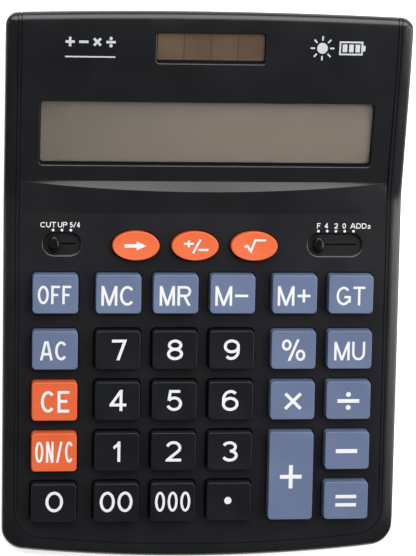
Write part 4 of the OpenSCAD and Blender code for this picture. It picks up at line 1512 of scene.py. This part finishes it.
# ---------------------------------------------------------------- stage, lights and camera


def area_light(name, place, size, power):
    """Rectangular light in metres and watts, aimed at the origin."""
    lamp = bpy.data.lights.new(name, "AREA")
    lamp.shape = "RECTANGLE"
    lamp.size, lamp.size_y = size
    lamp.energy = power
    light = linked(name, lamp)
    light.location = place
    light.rotation_euler = (-Vector(place)).to_track_quat("-Z", "Y").to_euler()


def floor():
    material = bpy.data.materials.new("floor_white")
    material.use_nodes = True
    shader = material.node_tree.nodes["Principled BSDF"]
    shader.inputs["Base Color"].default_value = (0.75, 0.75, 0.75, 1)
    shader.inputs["Roughness"].default_value = 0.9
    shader.inputs["Specular IOR Level"].default_value = 0.0
    shader.inputs["Emission Color"].default_value = (1, 1, 1, 1)
    shader.inputs["Emission Strength"].default_value = 0.55
    mesh = bpy.data.meshes.new("floor")
    half, low = 3.0, -0.00005
    mesh.from_pydata([(-half, -half, low), (half, -half, low), (half, half, low), (-half, half, low)], [],
                     [(0, 1, 2, 3)])
    mesh.materials.append(material)
    linked("floor", mesh)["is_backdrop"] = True


def camera():
    """Camera where the photograph's fits best: place in metres and turns about X, Y and Z in radians."""
    place = Vector((-0.10186, 0.06159, 0.88607))
    turn = Matrix.Rotation(-0.0016, 3, "Z") @ Matrix.Rotation(0.1187, 3, "Y")
    turn = turn @ Matrix.Rotation(0.0662, 3, "X")
    lens = bpy.data.cameras.new("camera")
    lens.sensor_fit = "VERTICAL"
    lens.sensor_height = 36
    lens.lens = 150.72
    view = linked("camera", lens)
    view.matrix_world = Matrix.Translation(place) @ turn.transposed().to_4x4()
    bpy.context.scene.camera = view


def studio():
    floor()
    area_light("softbox_back", (0.1, 0.7, 0.95), (1.8, 1.1), 40)
    area_light("softbox_left", (-1.2, -0.1, 0.8), (0.4, 1.0), 2.2)
    area_light("softbox_right", (0.9, -0.1, 0.6), (0.4, 1.0), 9)
    area_light("softbox_front", (0.15, -0.75, 0.85), (1.2, 0.5), 0.3)
    world = bpy.data.worlds.new("studio")
    bpy.context.scene.world = world
    world.use_nodes = True
    background = world.node_tree.nodes["Background"]
    background.inputs["Color"].default_value = (1, 1, 1, 1)
    background.inputs["Strength"].default_value = 0.08
    bpy.context.scene.view_settings.view_transform = "Standard"


top_case()
for key_node in KEY_NODES:
    keycap(key_node)
key_mat()
for key_node in LEGENDS:
    legend(key_node)
plain_legends()
tactile_bar()
switch_legends()
# painted shade round the display and the solar cell
window_painted_shade("lcd_painted_shade", "display_window", PANEL, LCD_Y, LCD_SIZE, 1.0, LCD_SHADE_BAND)
window_painted_shade("solar_painted_shade", "solar_cell", HEADER, SOLAR_Y, SOLAR_SIZE, 0.6, SOLAR_SHADE_BAND)
header_marks()
for switch in SWITCHES:
    knob(switch)
cross_screws()
for eased_node, eased_finish, eased_edge in (
    ("bottom_case", "base_black", 0.3),
    ("battery_door", "base_black", 0.2),
    ("rubber_feet", "foot_rubber", 0.4),
    ("display_window", "clear_window", 0.15),
    ("rating_label", "label", 0.05),
):
    softened(eased_node, eased_finish, eased_edge)
finish_nodes({
    "lcd_panel": "lcd_glass",
    "lcd_holder": "holder_white",
    "lcd_ribbon": "ribbon",
    "solar_cell": "solar_film",
    "solar_bracket": "holder_dark",
    "main_board": "board_green",
    "controller_chip": "epoxy",
    "board_capacitors": "capacitor",
    "battery_cell": "cell_sleeve",
    "battery_spring": "plated_steel",
    "battery_plate": "plated_steel",
    "solar_leads": "lead_red",
    "battery_leads": "lead_black",
    "board_screws": "screw_steel",
    "rounding_wiper": "contact_brass",
    "decimal_wiper": "contact_brass",
})
studio()
camera()

[np.array(box).tolist() for box in (cad_box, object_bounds())]
